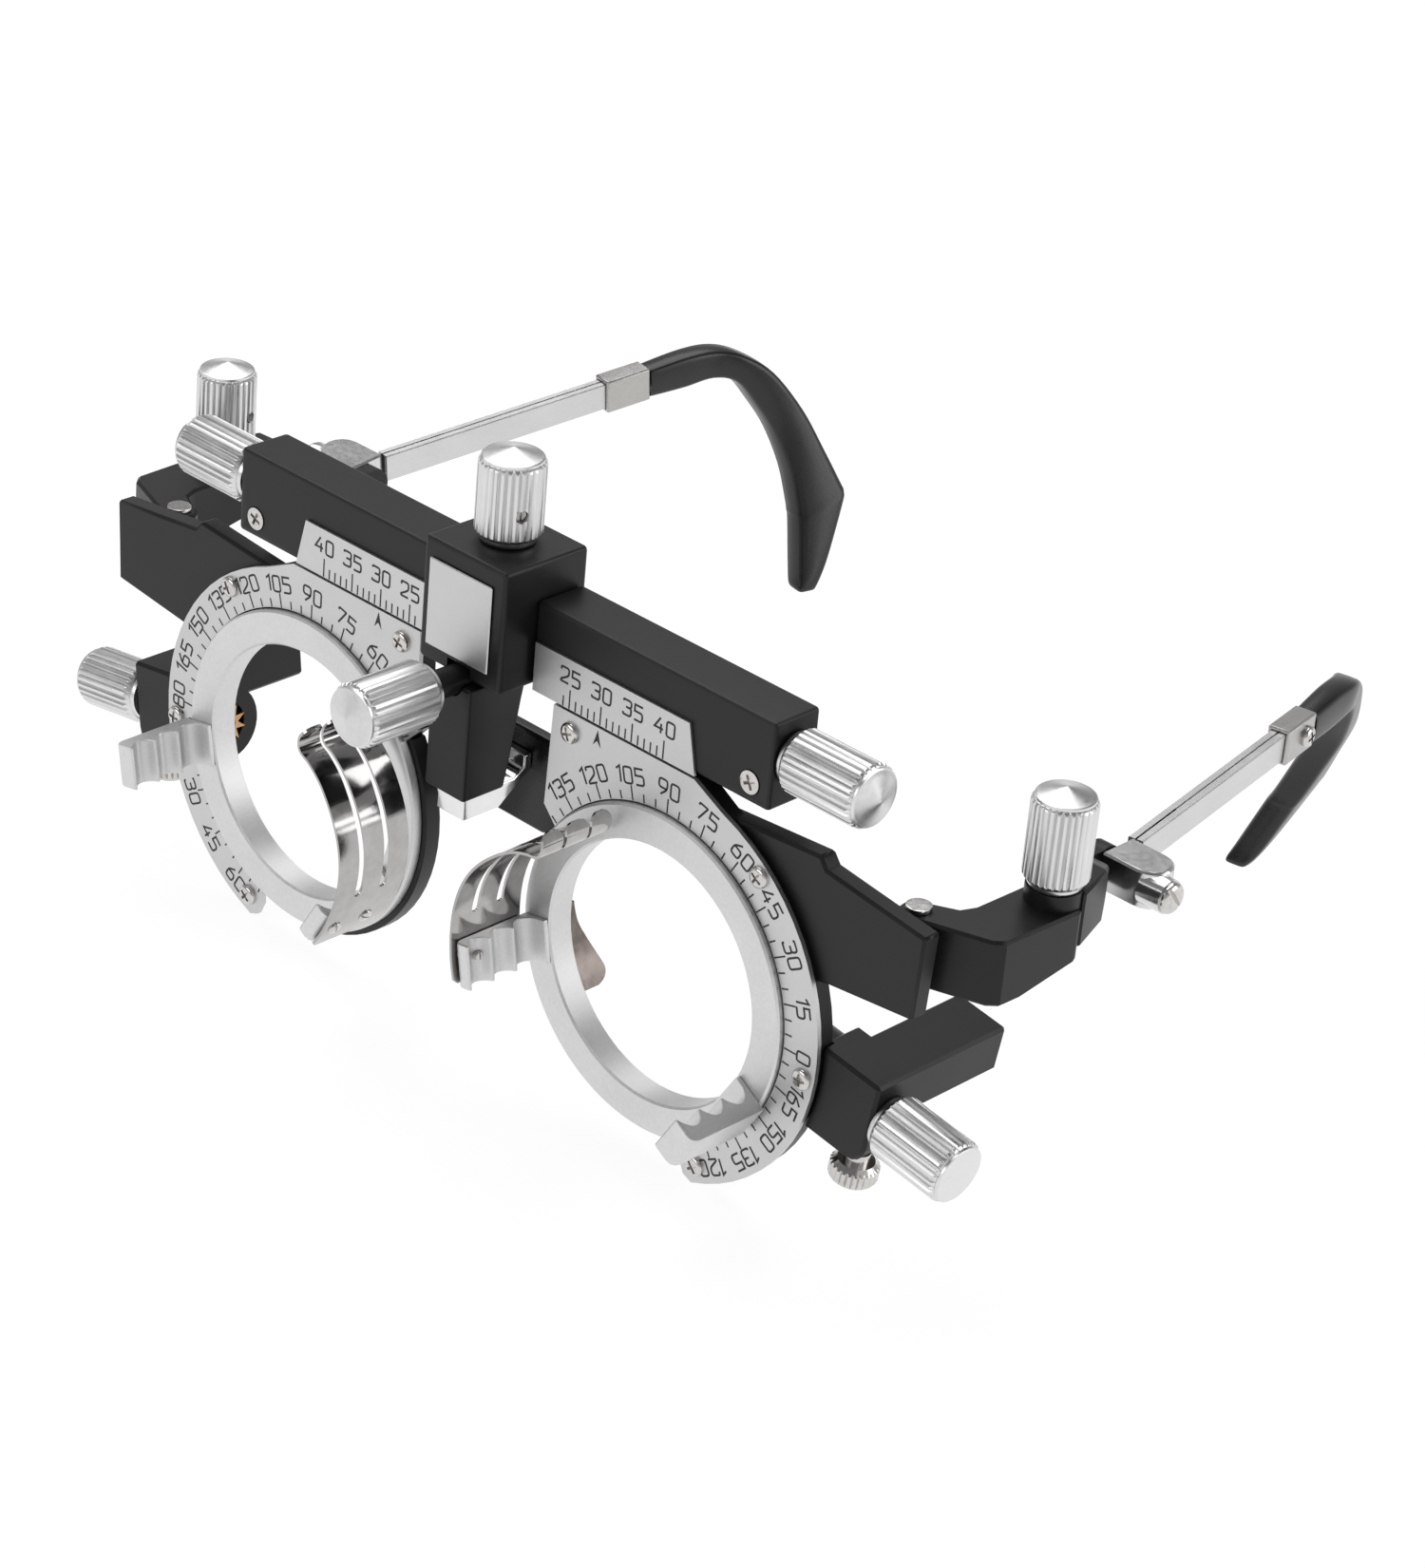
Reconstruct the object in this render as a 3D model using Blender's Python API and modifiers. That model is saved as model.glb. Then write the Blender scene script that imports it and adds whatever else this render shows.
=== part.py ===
"""Adjustable optical trial frame: a bridge block with two bars, two sliding lens carriers with
rotating lens rings, an adjustable nose rest and two folding, tilting, extending temples.

Lengths below are millimetres in a layout whose X runs to the right, Y to the rear and Z up.
Y is 0 on the bars' front face and Z is 0 on their underside. ORIGIN moves the whole frame so
that the seat of the nose rest is the world origin.
"""

import math

import bmesh
import bpy
from mathutils import Matrix, Vector

MM = 0.001
ORIGIN = Vector((0.0, 7.7, -16.1))

# Bars and bridge
BAR_END = 44.3
BAR_DEPTH = 7.15
BAR_HEIGHT = 10.9
BLOCK_HALF = 6.75
LEAD_Y = 3.4
LEAD_Z = 6.0
KNOB_R = 3.9
HEIGHT_Y = 1.5
DEPTH_Z = -0.2
FLUTES = 24

# Lens cell
LENS_X = 30.0
LENS_Z = -26.8
BORE_R = 16.1
FLANGE_R = 20.4
HUB_R = 19.3
SCALE_R = 20.58
PLATE_R = 25.6
RIM_R = 21.2
TEETH = 72
POST_A = 191.0
POST_B = 329.0
RIGHT_TURN = -20.0

# Axis gearbox
GEAR_TILT = 8.3
GEAR_Y = 3.4
PINION_TEETH = 9
PINION_R = 2.6

# Temples
PIN_X = 62.17
PIN_Y = 5.88
TILT_X = 69.66
TILT_Y = 19.52
PIVOT_Y = 37.6
PIVOT_Z = -11.0
ROD_START = Vector((63.76, 41.2, -8.75))
TOE_IN = 10.0
REST_TILT_R = 0.66
REST_TILT_L = 6.5
ROD_LENGTH = 41.6
GAP = 0.05

BLACK = ((0.012, 0.012, 0.013), 0.42, 0.0)
PLASTIC = ((0.010, 0.010, 0.011), 0.33, 0.0)
SATIN = ((0.62, 0.62, 0.63), 0.42, 1.0)
KNOB_METAL = ((0.78, 0.78, 0.78), 0.30, 1.0)
CHROME = ((0.80, 0.80, 0.81), 0.08, 1.0)
NICKEL = ((0.72, 0.70, 0.66), 0.20, 1.0)
BRASS = ((0.62, 0.40, 0.16), 0.32, 1.0)


def clear_scene():
    for obj in list(bpy.data.objects):
        bpy.data.objects.remove(obj, do_unlink=True)


def collection(name):
    made = bpy.data.collections.new(name)
    bpy.context.scene.collection.children.link(made)
    return made


def material(name, look):
    colour, roughness, metallic = look
    made = bpy.data.materials.new(name)
    made.use_nodes = True
    shader = made.node_tree.nodes["Principled BSDF"]
    shader.inputs["Base Color"].default_value = (*colour, 1.0)
    shader.inputs["Roughness"].default_value = roughness
    shader.inputs["Metallic"].default_value = metallic
    return made


def as_object(name, bm, group=None):
    """An object whose mesh is bm, given in layout millimetres."""
    bmesh.ops.remove_doubles(bm, verts=bm.verts, dist=1e-4)
    bmesh.ops.recalc_face_normals(bm, faces=bm.faces)
    bmesh.ops.scale(bm, verts=bm.verts, vec=(MM, MM, MM))
    mesh = bpy.data.meshes.new(name)
    bm.to_mesh(mesh)
    bm.free()
    obj = bpy.data.objects.new(name, mesh)
    (group or PARTS).objects.link(obj)
    return obj


def box(name, low, high, group=None):
    bm = bmesh.new()
    bmesh.ops.create_cube(bm, size=1.0)
    size = Vector(high) - Vector(low)
    bmesh.ops.scale(bm, verts=bm.verts, vec=size)
    bmesh.ops.translate(bm, verts=bm.verts, vec=(Vector(high) + Vector(low)) / 2)
    return as_object(name, bm, group)


def rod(name, start, end, radius, sides=24, group=None, end_radius=None):
    """A cylinder, or a cone when end_radius is given, from start to end."""
    start = Vector(start)
    end = Vector(end)
    bm = bmesh.new()
    bmesh.ops.create_cone(
        bm,
        cap_ends=True,
        segments=sides,
        radius1=radius,
        radius2=radius if end_radius is None else end_radius,
        depth=(end - start).length,
    )
    turn = Vector((0, 0, 1)).rotation_difference(end - start)
    bmesh.ops.rotate(bm, verts=bm.verts, matrix=turn.to_matrix())
    bmesh.ops.translate(bm, verts=bm.verts, vec=(start + end) / 2)
    return as_object(name, bm, group)


def prism(name, outline, axis, low, high, group=None):
    """A flat outline given thickness: (x, z) along Y, (y, z) along X or (x, y) along Z."""
    curve = bpy.data.curves.new(name + "_outline", "CURVE")
    curve.dimensions = "2D"
    curve.fill_mode = "BOTH"
    curve.extrude = (high - low) / 2
    spline = curve.splines.new("POLY")
    spline.points.add(len(outline) - 1)
    for point, (a, b) in zip(spline.points, outline):
        point.co = (a, b, 0.0, 1.0)
    spline.use_cyclic_u = True
    helper = bpy.data.objects.new(name + "_outline", curve)
    bpy.context.scene.collection.objects.link(helper)
    graph = bpy.context.evaluated_depsgraph_get()
    flat = bpy.data.meshes.new_from_object(helper.evaluated_get(graph))
    bpy.data.objects.remove(helper)
    bpy.data.curves.remove(curve)
    axes = {
        "X": ((0, 0, 1), (1, 0, 0), (0, 1, 0)),
        "Y": ((1, 0, 0), (0, 0, -1), (0, 1, 0)),
        "Z": ((1, 0, 0), (0, 1, 0), (0, 0, 1)),
    }
    along = {"X": (1, 0, 0), "Y": (0, 1, 0), "Z": (0, 0, 1)}
    bm = bmesh.new()
    bm.from_mesh(flat)
    bpy.data.meshes.remove(flat)
    bmesh.ops.transform(bm, matrix=Matrix(axes[axis]).to_4x4(), verts=bm.verts)
    bmesh.ops.translate(bm, verts=bm.verts, vec=Vector(along[axis]) * (low + high) / 2)
    bmesh.ops.remove_doubles(bm, verts=bm.verts, dist=1e-4)
    bmesh.ops.dissolve_limit(bm, angle_limit=0.002, verts=bm.verts, edges=bm.edges)
    return as_object(name, bm, group)


def skin(name, rings, closed=False, group=None):
    """A loft through rings of equal count: capped at both ends, or joined end to start."""
    bm = bmesh.new()
    rows = [[bm.verts.new(point) for point in ring] for ring in rings]
    count = len(rows[0])
    pairs = list(zip(rows, rows[1:]))
    if closed:
        pairs.append((rows[-1], rows[0]))
    for one, two in pairs:
        for i in range(count):
            j = (i + 1) % count
            bm.faces.new((one[i], one[j], two[j], two[i]))
    if not closed:
        bm.faces.new(rows[0][::-1])
        bm.faces.new(rows[-1])
    return as_object(name, bm, group)


def bevel(obj, width, segments=2, angle=50.0):
    made = obj.modifiers.new("Bevel", "BEVEL")
    made.width = width * MM
    made.segments = segments
    made.limit_method = "ANGLE"
    made.angle_limit = math.radians(angle)
    made.use_clamp_overlap = True


def combine(obj, other, operation):
    made = obj.modifiers.new(operation.title(), "BOOLEAN")
    made.operation = operation
    made.solver = "EXACT"
    made.object = other
    other.display_type = "WIRE"


def cut(obj, *others):
    for other in others:
        combine(obj, other, "DIFFERENCE")


def join(obj, *others):
    for other in others:
        combine(obj, other, "UNION")


def turn_mesh(obj, angle, centre):
    """Turns a mesh counter-clockwise as seen from the front, about a Y line through centre."""
    x, z = centre
    middle = Vector((x, 0, z)) * MM
    turn = Matrix.Rotation(math.radians(-angle), 4, "Y")
    obj.data.transform(Matrix.Translation(middle) @ turn @ Matrix.Translation(-middle))


def polar(radius, angle, centre=(0.0, 0.0)):
    a = math.radians(angle)
    return (centre[0] + radius * math.cos(a), centre[1] + radius * math.sin(a))


def arc(radius, start, end, steps, centre=(0.0, 0.0)):
    return [
        polar(radius, start + (end - start) * i / steps, centre) for i in range(steps + 1)
    ]


def fluted_knob(name, base, tip, radius=KNOB_R, cone=1.1, flutes=FLUTES, depth=0.28):
    """A V-fluted knob from base to tip, with a chamfer and a shallow turned cone at the tip."""
    base = Vector(base)
    tip = Vector(tip)
    axis = (tip - base).normalized()
    turn = Vector((0, 0, 1)).rotation_difference(axis).to_matrix()
    length = (tip - base).length

    def ring(radii, height):
        points = []
        for i in range(2 * flutes):
            a = math.pi * i / flutes
            r = radii[i % 2]
            points.append(base + turn @ Vector((r * math.cos(a), r * math.sin(a), height)))
        return points

    smooth = radius - depth - 0.15
    rows = [
        ring((smooth, smooth), 0.0),
        ring((radius, radius - depth), 0.35),
        ring((radius, radius - depth), length - cone - 0.6),
        ring((smooth, smooth), length - cone),
        ring((0.25, 0.25), length),
    ]
    return skin(name, rows)


def settle(obj, parent, look, at, smooth=40.0):
    """Gives the object its material and origin, and hangs it on its body's empty."""
    at = Vector(at)
    graph = bpy.context.evaluated_depsgraph_get()
    graph.update()
    mesh = bpy.data.meshes.new_from_object(obj.evaluated_get(graph))
    cutters = [m.object for m in obj.modifiers if m.type == "BOOLEAN"]
    obj.modifiers.clear()
    mesh.transform(Matrix.Translation(-at * MM))
    old = obj.data
    obj.data = mesh
    bpy.data.meshes.remove(old)
    mesh.name = obj.name
    for tool in cutters:
        if tool.name in PARTS.objects:
            PARTS.objects.unlink(tool)
            TOOLS.objects.link(tool)
        tool.hide_render = True
    mesh.shade_smooth()
    mesh.set_sharp_from_angle(angle=math.radians(smooth))
    mesh.materials.clear()
    mesh.materials.append(material(obj.name, look))
    obj.parent = parent
    obj.location = (at - Vector(parent["at"])) * MM
    return obj


def body(name, at, parent=None, turn=(0, 0, 0)):
    """An empty on a joint axis, to carry one moving body."""
    made = bpy.data.objects.new(name, None)
    made.empty_display_size = 0.005
    PARTS.objects.link(made)
    made["at"] = tuple(at)
    if parent:
        made.parent = parent
        made.location = (Vector(at) - Vector(parent["at"])) * MM
    else:
        made.location = (Vector(at) - ORIGIN) * MM
    made.rotation_euler = [math.radians(v) for v in turn]
    return made


def mirrored(obj, name, parent):
    """The left-hand copy of a right-hand piece."""
    mesh = obj.data.copy()
    mesh.transform(Matrix.Diagonal((-1, 1, 1, 1)))
    mesh.flip_normals()
    mesh.name = name
    made = bpy.data.objects.new(name, mesh)
    PARTS.objects.link(made)
    colour = obj.data.materials[0].copy()
    colour.name = name
    mesh.materials.clear()
    mesh.materials.append(colour)
    made.parent = parent
    made.location = (-obj.location.x, obj.location.y, obj.location.z)
    made.rotation_euler = (
        obj.rotation_euler.x,
        -obj.rotation_euler.y,
        -obj.rotation_euler.z,
    )
    return made


def cross_slot(name, centre, axis, span, width=0.4, depth=0.45):
    """Two crossed bars for a Phillips recess, or one for a plain slot, facing out along axis."""
    centre = Vector(centre)
    out = Vector(axis).normalized()
    side = out.orthogonal().normalized()
    other = out.cross(side)
    tools = []
    for i, (long, short) in enumerate(((side, other), (other, side))):
        half = out * depth + long * (span / 2) + short * (width / 2)
        size = Vector((abs(half.x), abs(half.y), abs(half.z)))
        tools.append(box(f"{name}_{i}", centre - size, centre + size, TOOLS))
    return tools


# ---------------------------------------------------------------- centre pieces


def build_bridge(root):
    block = box("bridge_block", (-BLOCK_HALF, -5.1, 0), (BLOCK_HALF, 7.95, 15.5))
    bevel(block, 0.6)
    cut(
        block,
        box("block_well", (-2.75, -3.65, -1), (2.75, 4.15, 14.4), TOOLS),
        box("block_channel", (-1.4, 1.0, -1), (1.4, 9.0, 1.75), TOOLS),
        box("block_notch", (-1.85, -6.0, -1), (1.85, -3.0, 1.6), TOOLS),
        rod("block_hole", (0, HEIGHT_Y, 13), (0, HEIGHT_Y, 17), 1.15, 16, TOOLS),
    )
    settle(block, root, BLACK, (0, 0, 7.75))
    badge = box("bridge_badge", (-5.4, -5.45, 2.2), (4.9, -5.15, 13.15))
    bevel(badge, 0.12, 1)
    settle(badge, root, SATIN, (0, -5.3, 7.7))


def build_nose(height, height_knob, depth_knob, depth):
    """The carriage rises and falls in the block; the slider runs fore and aft below it."""
    carriage = box("nose_carriage", (-2.6, -3.5, -0.35), (2.6, 4.0, 12.0))
    neck = rod("carriage_neck", (0, -10.0, DEPTH_Z), (0, -2.5, DEPTH_Z), 1.75, 24, TOOLS)
    join(carriage, neck)
    cut(
        carriage,
        box("carriage_channel", (-1.4, -1.5, -1), (1.4, 5.0, 1.75), TOOLS),
        rod("carriage_bore", (0, -11, DEPTH_Z), (0, -1, DEPTH_Z), 1.15, 16, TOOLS),
        rod("carriage_nut", (0, HEIGHT_Y, 1.0), (0, HEIGHT_Y, 13), 1.15, 16, TOOLS),
    )
    settle(carriage, height, BLACK, (0, HEIGHT_Y, 6))

    side = [(-6.2, -0.4), (-6.2, -14.9), (0.3, -14.9), (0.9, -12.0), (1.4, -8.9)]
    side += [(1.8, -6.8), (2.3, -3.8), (3.0, -0.4)]
    slider = prism("nose_slider", side, "X", -3.3, 3.3)
    bevel(slider, 0.35, 2)
    cut(slider, rod("slider_groove", (0, -8, DEPTH_Z), (0, -1.4, DEPTH_Z), 1.9, 24, TOOLS))
    join(
        slider,
        box("slider_boss", (-1.25, -1.2, -1.6), (1.25, 2.6, 1.45), TOOLS),
        rod("slider_rod", (0, -18.8, DEPTH_Z), (0, 0.5, DEPTH_Z), 0.95, 16, TOOLS),
    )
    settle(slider, depth, BLACK, (0, 0, DEPTH_Z))

    top = fluted_knob("nose_height_knob", (0, HEIGHT_Y, 15.75), (0, HEIGHT_Y, 27.0), 4.0)
    screw = rod("height_screw", (0, HEIGHT_Y, 2.4), (0, HEIGHT_Y, 16.5), 0.95, 16, TOOLS)
    join(top, screw)
    turn = Vector((math.cos(math.radians(-23)), math.sin(math.radians(-23)), 0))
    centre = Vector((0, HEIGHT_Y, 19.95))
    recess = rod("knob_set_screw", centre + turn * 2.6, centre + turn * 5, 0.75, 12, TOOLS)
    cut(top, recess)
    settle(top, height_knob, KNOB_METAL, (0, HEIGHT_Y, 15.75))

    front = fluted_knob("nose_depth_knob", (0, -10.1, DEPTH_Z), (0, -22.4, DEPTH_Z))
    cut(front, rod("depth_thread", (0, -9, DEPTH_Z), (0, -19.4, DEPTH_Z), 1.1, 16, TOOLS))
    settle(front, depth_knob, KNOB_METAL, (0, -10.1, DEPTH_Z))

    strap = [(-5.0, -14.95), (-5.0, -18.1), (0.7, -18.1), (5.6, -14.6), (5.6, -12.4)]
    strap += [(4.4, -12.4), (4.4, -13.9), (2.9, -14.95)]
    bracket = prism("nose_bracket", strap, "X", -2.3, 2.3)
    bevel(bracket, 0.15, 1)
    settle(bracket, depth, CHROME, (0, 0, -16.5))

    bend = [(4.6, 5.65), (8.3, 8.0), (11.6, 13.0), (10.1, 14.0), (7.0, 9.7), (3.6, 7.7)]
    plan = bend + [(-x, y) for x, y in bend[::-1]]
    rest = prism("nose_rest", plan, "Z", -22.3, -9.9)
    bevel(rest, 0.5, 2)
    settle(rest, depth, PLASTIC, (0, 7.0, -16.1))


# ---------------------------------------------------------------- right-hand pieces


def build_bar(root, pd_knob):
    bar = box("bar_r", (BLOCK_HALF + 0.1, 0, 0), (BAR_END, BAR_DEPTH, BAR_HEIGHT))
    bevel(bar, 0.5)
    cut(
        bar,
        box("bar_channel", (8.2, 1.25, -1), (43.0, 5.9, 9.7), TOOLS),
        rod("bar_bearing", (42, LEAD_Y, LEAD_Z), (46, LEAD_Y, LEAD_Z), 1.1, 16, TOOLS),
        rod("bar_pocket", (41.26, -1, 2.5), (41.26, 0.85, 2.5), 1.5, 20, TOOLS),
    )
    settle(bar, root, BLACK, (25.5, 3.5, 5.4))

    scale = prism(
        "pd_scale_r", [(7.4, 6.0), (7.4, -0.1), (33.4, -0.1), (32.0, 6.0)], "Y", -0.4, -GAP
    )
    settle(scale, root, SATIN, (20, -0.2, 3))

    screw = rod("bar_screw_r", (41.26, 0.75, 2.5), (41.26, -0.12, 2.5), 1.4, 20)
    cut(screw, *cross_slot("bar_cross", (41.26, -0.12, 2.5), (0, -1, 0), 1.7, 0.35, 0.3))
    settle(screw, root, NICKEL, (41.26, 0.3, 2.5))

    knob = fluted_knob("pd_knob_r", (44.6, LEAD_Y, LEAD_Z), (57.4, LEAD_Y, LEAD_Z))
    lead = rod("lead_screw", (8.8, LEAD_Y, LEAD_Z), (46, LEAD_Y, LEAD_Z), 0.95, 16, TOOLS)
    join(knob, lead)
    settle(knob, pd_knob, KNOB_METAL, (44.6, LEAD_Y, LEAD_Z))


def cell_outline(outer, inner, nasal, low_angle, steps):
    """The front plate: a ring sector that grows into the flat lug under the bar."""
    centre = (LENS_X, LENS_Z)
    points = arc(outer, low_angle, 71.0, steps, centre)
    points += [(33.6, -0.3), (nasal, -0.3), (nasal - 0.4, -13.3)]
    points += [(12.6 if nasal < 11.3 else 12.7, -15.2)]
    return points + inner


def build_carrier(slide):
    centre = (LENS_X, LENS_Z)
    rim = arc(RIM_R, 147.0, 292.0, 26, centre)
    outline = cell_outline(PLATE_R - 0.3, rim, 11.35, -66.0, 24)
    carrier = prism("lens_carrier_r", outline, "Y", GAP, 2.2)
    arm = [(34.8, -3.5), (52.0, -2.2), (53.0, -3.5), (58.6, -4.2), (67.8, -5.3)]
    arm += [(67.2, -15.9), (54.7, -17.2), (46.0, -19.0), (36.0, -8.0)]
    arm_tool = prism("carrier_arm", arm, "Y", 0.6, 3.2, TOOLS)
    bevel(arm_tool, 0.35, 1)
    nut = box("carrier_nut", (20, 1.5, -2.5), (31, 5.65, 9.4), TOOLS)
    lug = rod("carrier_lug", (PIN_X, PIN_Y, -11.8), (PIN_X, PIN_Y, -8.2), 2.2, 24, TOOLS)
    web = box("carrier_web", (PIN_X - 2.1, 2.5, -11.8), (PIN_X + 2.1, PIN_Y, -8.2), TOOLS)
    join(carrier, arm_tool, nut, lug, web)
    pocket = (tilted(radial(18, 0)), tilted(radial(20.05, 0)))
    cut(
        carrier,
        rod("carrier_bore", (LENS_X, -3, LENS_Z), (LENS_X, 6, LENS_Z), HUB_R + 0.2, 72, TOOLS),
        rod("carrier_thread", (18, LEAD_Y, LEAD_Z), (33, LEAD_Y, LEAD_Z), 1.12, 16, TOOLS),
        rod("carrier_eye", (PIN_X, PIN_Y, -15), (PIN_X, PIN_Y, -5), 0.88, 16, TOOLS),
        rod("carrier_pocket", pocket[0], pocket[1], PINION_R + 0.1, 24, TOOLS),
    )
    settle(carrier, slide, BLACK, (LENS_X, 1.0, LENS_Z))

    inner = arc(SCALE_R, 146.5, -71.0, 54, centre)
    tip = [polar(22.6, -73.2, centre), polar(24.6, -72.6, centre)]
    plate = cell_outline(PLATE_R, inner + tip, 11.2, -70.0, 26)
    protractor = prism("protractor_r", plate, "Y", -0.6, 0.0)
    settle(protractor, slide, SATIN, (LENS_X, -0.3, LENS_Z))


def build_ring(spin):
    """The left-hand cell: the right-hand one is its mirror image, turned."""
    count = 2 * TEETH
    x0 = -LENS_X

    def row(radius, depth, tooth=0.0):
        ring = []
        for i in range(count):
            x, z = polar(radius, 360 * i / count, (x0, LENS_Z))
            ring.append((x, depth + (tooth if i % 2 else 0.0), z))
        return ring

    rows = [
        row(BORE_R, -1.4),
        row(FLANGE_R, -1.4),
        row(FLANGE_R, -GAP),
        row(HUB_R, -GAP),
        row(HUB_R, 0.3, 0.4),
        row(18.3, 0.3, 0.4),
        row(17.6, 0.3),
        row(17.5, 2.3),
        row(BORE_R, 2.3),
    ]
    ring = skin("lens_ring_l", rows, closed=True)
    settle(ring, spin, KNOB_METAL, (x0, 0, LENS_Z))

    grooves = []
    for start in (-2.1, -5.7, -9.3):
        for drop, radius in ((0.0, 17.6), (0.5, 18.2), (1.3, 18.9), (2.1, 19.1), (2.9, 18.7)):
            grooves.append((radius, start - drop))
        grooves.append((17.6, start - 3.3))
    for name, angle, outer in (("post_a_l", POST_A, 21.0), ("post_b_l", POST_B, 20.0)):
        profile = [(16.15, -1.45), (16.15, -2.1)] + grooves
        profile += [(17.6, -12.9), (outer - 1.0, -12.9), (outer, -11.7), (outer, -1.45)]
        side = [(x0 + r, y) for r, y in profile]
        post = prism(name, side, "Z", LENS_Z - 2.75, LENS_Z + 2.75)
        turn_mesh(post, angle, (x0, LENS_Z))
        settle(post, spin, KNOB_METAL, (x0, 0, LENS_Z))

    sections = []
    for angle, reach in (
        (-57, 4.6), (-55, 5.8), (-51, 6.4), (-44, 5.7), (-36, 4.6), (-28, 3.5), (-18, 2.75)
    ):
        section = []
        for radius, y in ((16.4, 2.35), (16.4, reach), (16.75, reach), (16.75, 2.35)):
            x, z = polar(radius, angle, (x0, LENS_Z))
            section.append((x, y, z))
        sections.append(section)
    settle(skin("rear_spring_l", sections), spin, CHROME, (x0, 0, LENS_Z))

    path = [(20.45, -38), (20.45, -30), (20.45, -20), (20.5, -10), (20.4, 0), (20.0, 10)]
    path += [(19.4, 20), (18.8, 30), (18.1, 38), (17.5, 43), (17.7, 46), (18.7, 48)]
    path += [(20.2, 48.5)]
    middle = [Vector(polar(r, a, (x0, LENS_Z))) for r, a in path]
    left = []
    right = []
    for i, point in enumerate(middle):
        before = middle[max(i - 1, 0)]
        after = middle[min(i + 1, len(middle) - 1)]
        along = (after - before).normalized()
        out = Vector((along.y, -along.x)) * 0.17
        left.append(tuple(point + out))
        right.append(tuple(point - out))
    leaf = prism("spring_clip_l", left + right[::-1], "Y", -13.0, -2.2)
    for i, (low, high) in enumerate(((-10.1, -9.0), (-6.2, -5.1))):
        slot = arc(24.0, -15, 62, 8, (x0, LENS_Z)) + arc(13.0, 62, -15, 8, (x0, LENS_Z))
        cut(leaf, prism(f"leaf_slot_{i}", slot, "Y", low, high, TOOLS))
    settle(leaf, spin, CHROME, (x0, 0, LENS_Z))


def radial(u, v, y=GEAR_Y):
    """A point of the gearbox frame: u out from the lens centre, v across, before tilting."""
    return (LENS_X + u, y, LENS_Z + v)


def build_gearbox(slide, axis_knob, lock):
    corner = arc(2.6, -90, 0, 4, (LENS_X + 30.9, LENS_Z - 3.3))
    face = corner + [(LENS_X + 33.5, LENS_Z + 5.5), (LENS_X + 24.0, LENS_Z + 5.5)]
    face += [(LENS_X + 24.0, LENS_Z - 5.9)]
    gearbox = prism("gearbox_r", face, "Y", 0.6, 7.2)
    bevel(gearbox, 0.4, 1)
    arm = box("gearbox_arm", radial(26.0, -0.6, 4.0), radial(33.5, 5.5, 22.0), TOOLS)
    bevel(arm, 0.4, 1)
    cup = rod("gearbox_cup", radial(19.1, 0), radial(25.0, 0), 4.85, 36, TOOLS)
    join(gearbox, arm, cup)
    clear = rod("gearbox_clear", (LENS_X, -5, LENS_Z), (LENS_X, 2.25, LENS_Z), 25.6, 72, TOOLS)
    bore = rod("gearbox_bore", radial(19, 0), radial(35, 0), 0.98, 16, TOOLS)
    hole = rod("gearbox_hole", radial(30.9, -9, 3.4), radial(30.9, -2.2, 3.4), 1.1, 16, TOOLS)
    recess = rod("gearbox_recess", radial(18, 0), radial(20.05, 0), PINION_R + 0.1, 24, TOOLS)
    cut(gearbox, clear, bore, hole, recess)

    knob = fluted_knob("axis_knob_r", radial(33.6, 0), radial(44.8, 0))
    join(knob, rod("axis_shaft", radial(18.5, 0), radial(36, 0), 0.8, 16, TOOLS))

    star = []
    for i in range(2 * PINION_TEETH):
        radius = PINION_R if i % 2 else 1.3
        star.append(polar(radius, 180 * i / PINION_TEETH, (GEAR_Y, LENS_Z)))
    pinion = prism("pinion_r", star, "X", LENS_X + 18.6, LENS_X + 19.95)
    cut(pinion, rod("pinion_bore", radial(17, 0), radial(21, 0), 0.87, 16, TOOLS))

    head = fluted_knob(
        "lock_screw_r", radial(30.9, -7.3), radial(30.9, -10.4), 2.9, 0.3, 20, 0.2
    )
    join(head, rod("lock_shank", radial(30.9, -9), radial(30.9, -3.0), 0.95, 16, TOOLS))

    for piece, parent, look, at in (
        (gearbox, slide, BLACK, radial(28, 0)),
        (knob, axis_knob, KNOB_METAL, radial(34.3, 0)),
        (pinion, axis_knob, BRASS, radial(34.3, 0)),
        (head, lock, NICKEL, radial(30.9, -7.3)),
    ):
        settle(piece, parent, look, tilted(at))
        piece.data.transform(Matrix.Translation((tilted(at) - Vector(at)) * MM))
        piece.data.transform(Matrix.Rotation(math.radians(GEAR_TILT), 4, "Y"))


def tilted(point):
    """Where a gearbox point goes when the gearbox is tilted about the lens centre."""
    centre = Vector((LENS_X, 0, LENS_Z))
    turn = Matrix.Rotation(math.radians(GEAR_TILT), 3, "Y")
    return turn @ (Vector(point) - centre) + centre


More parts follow.
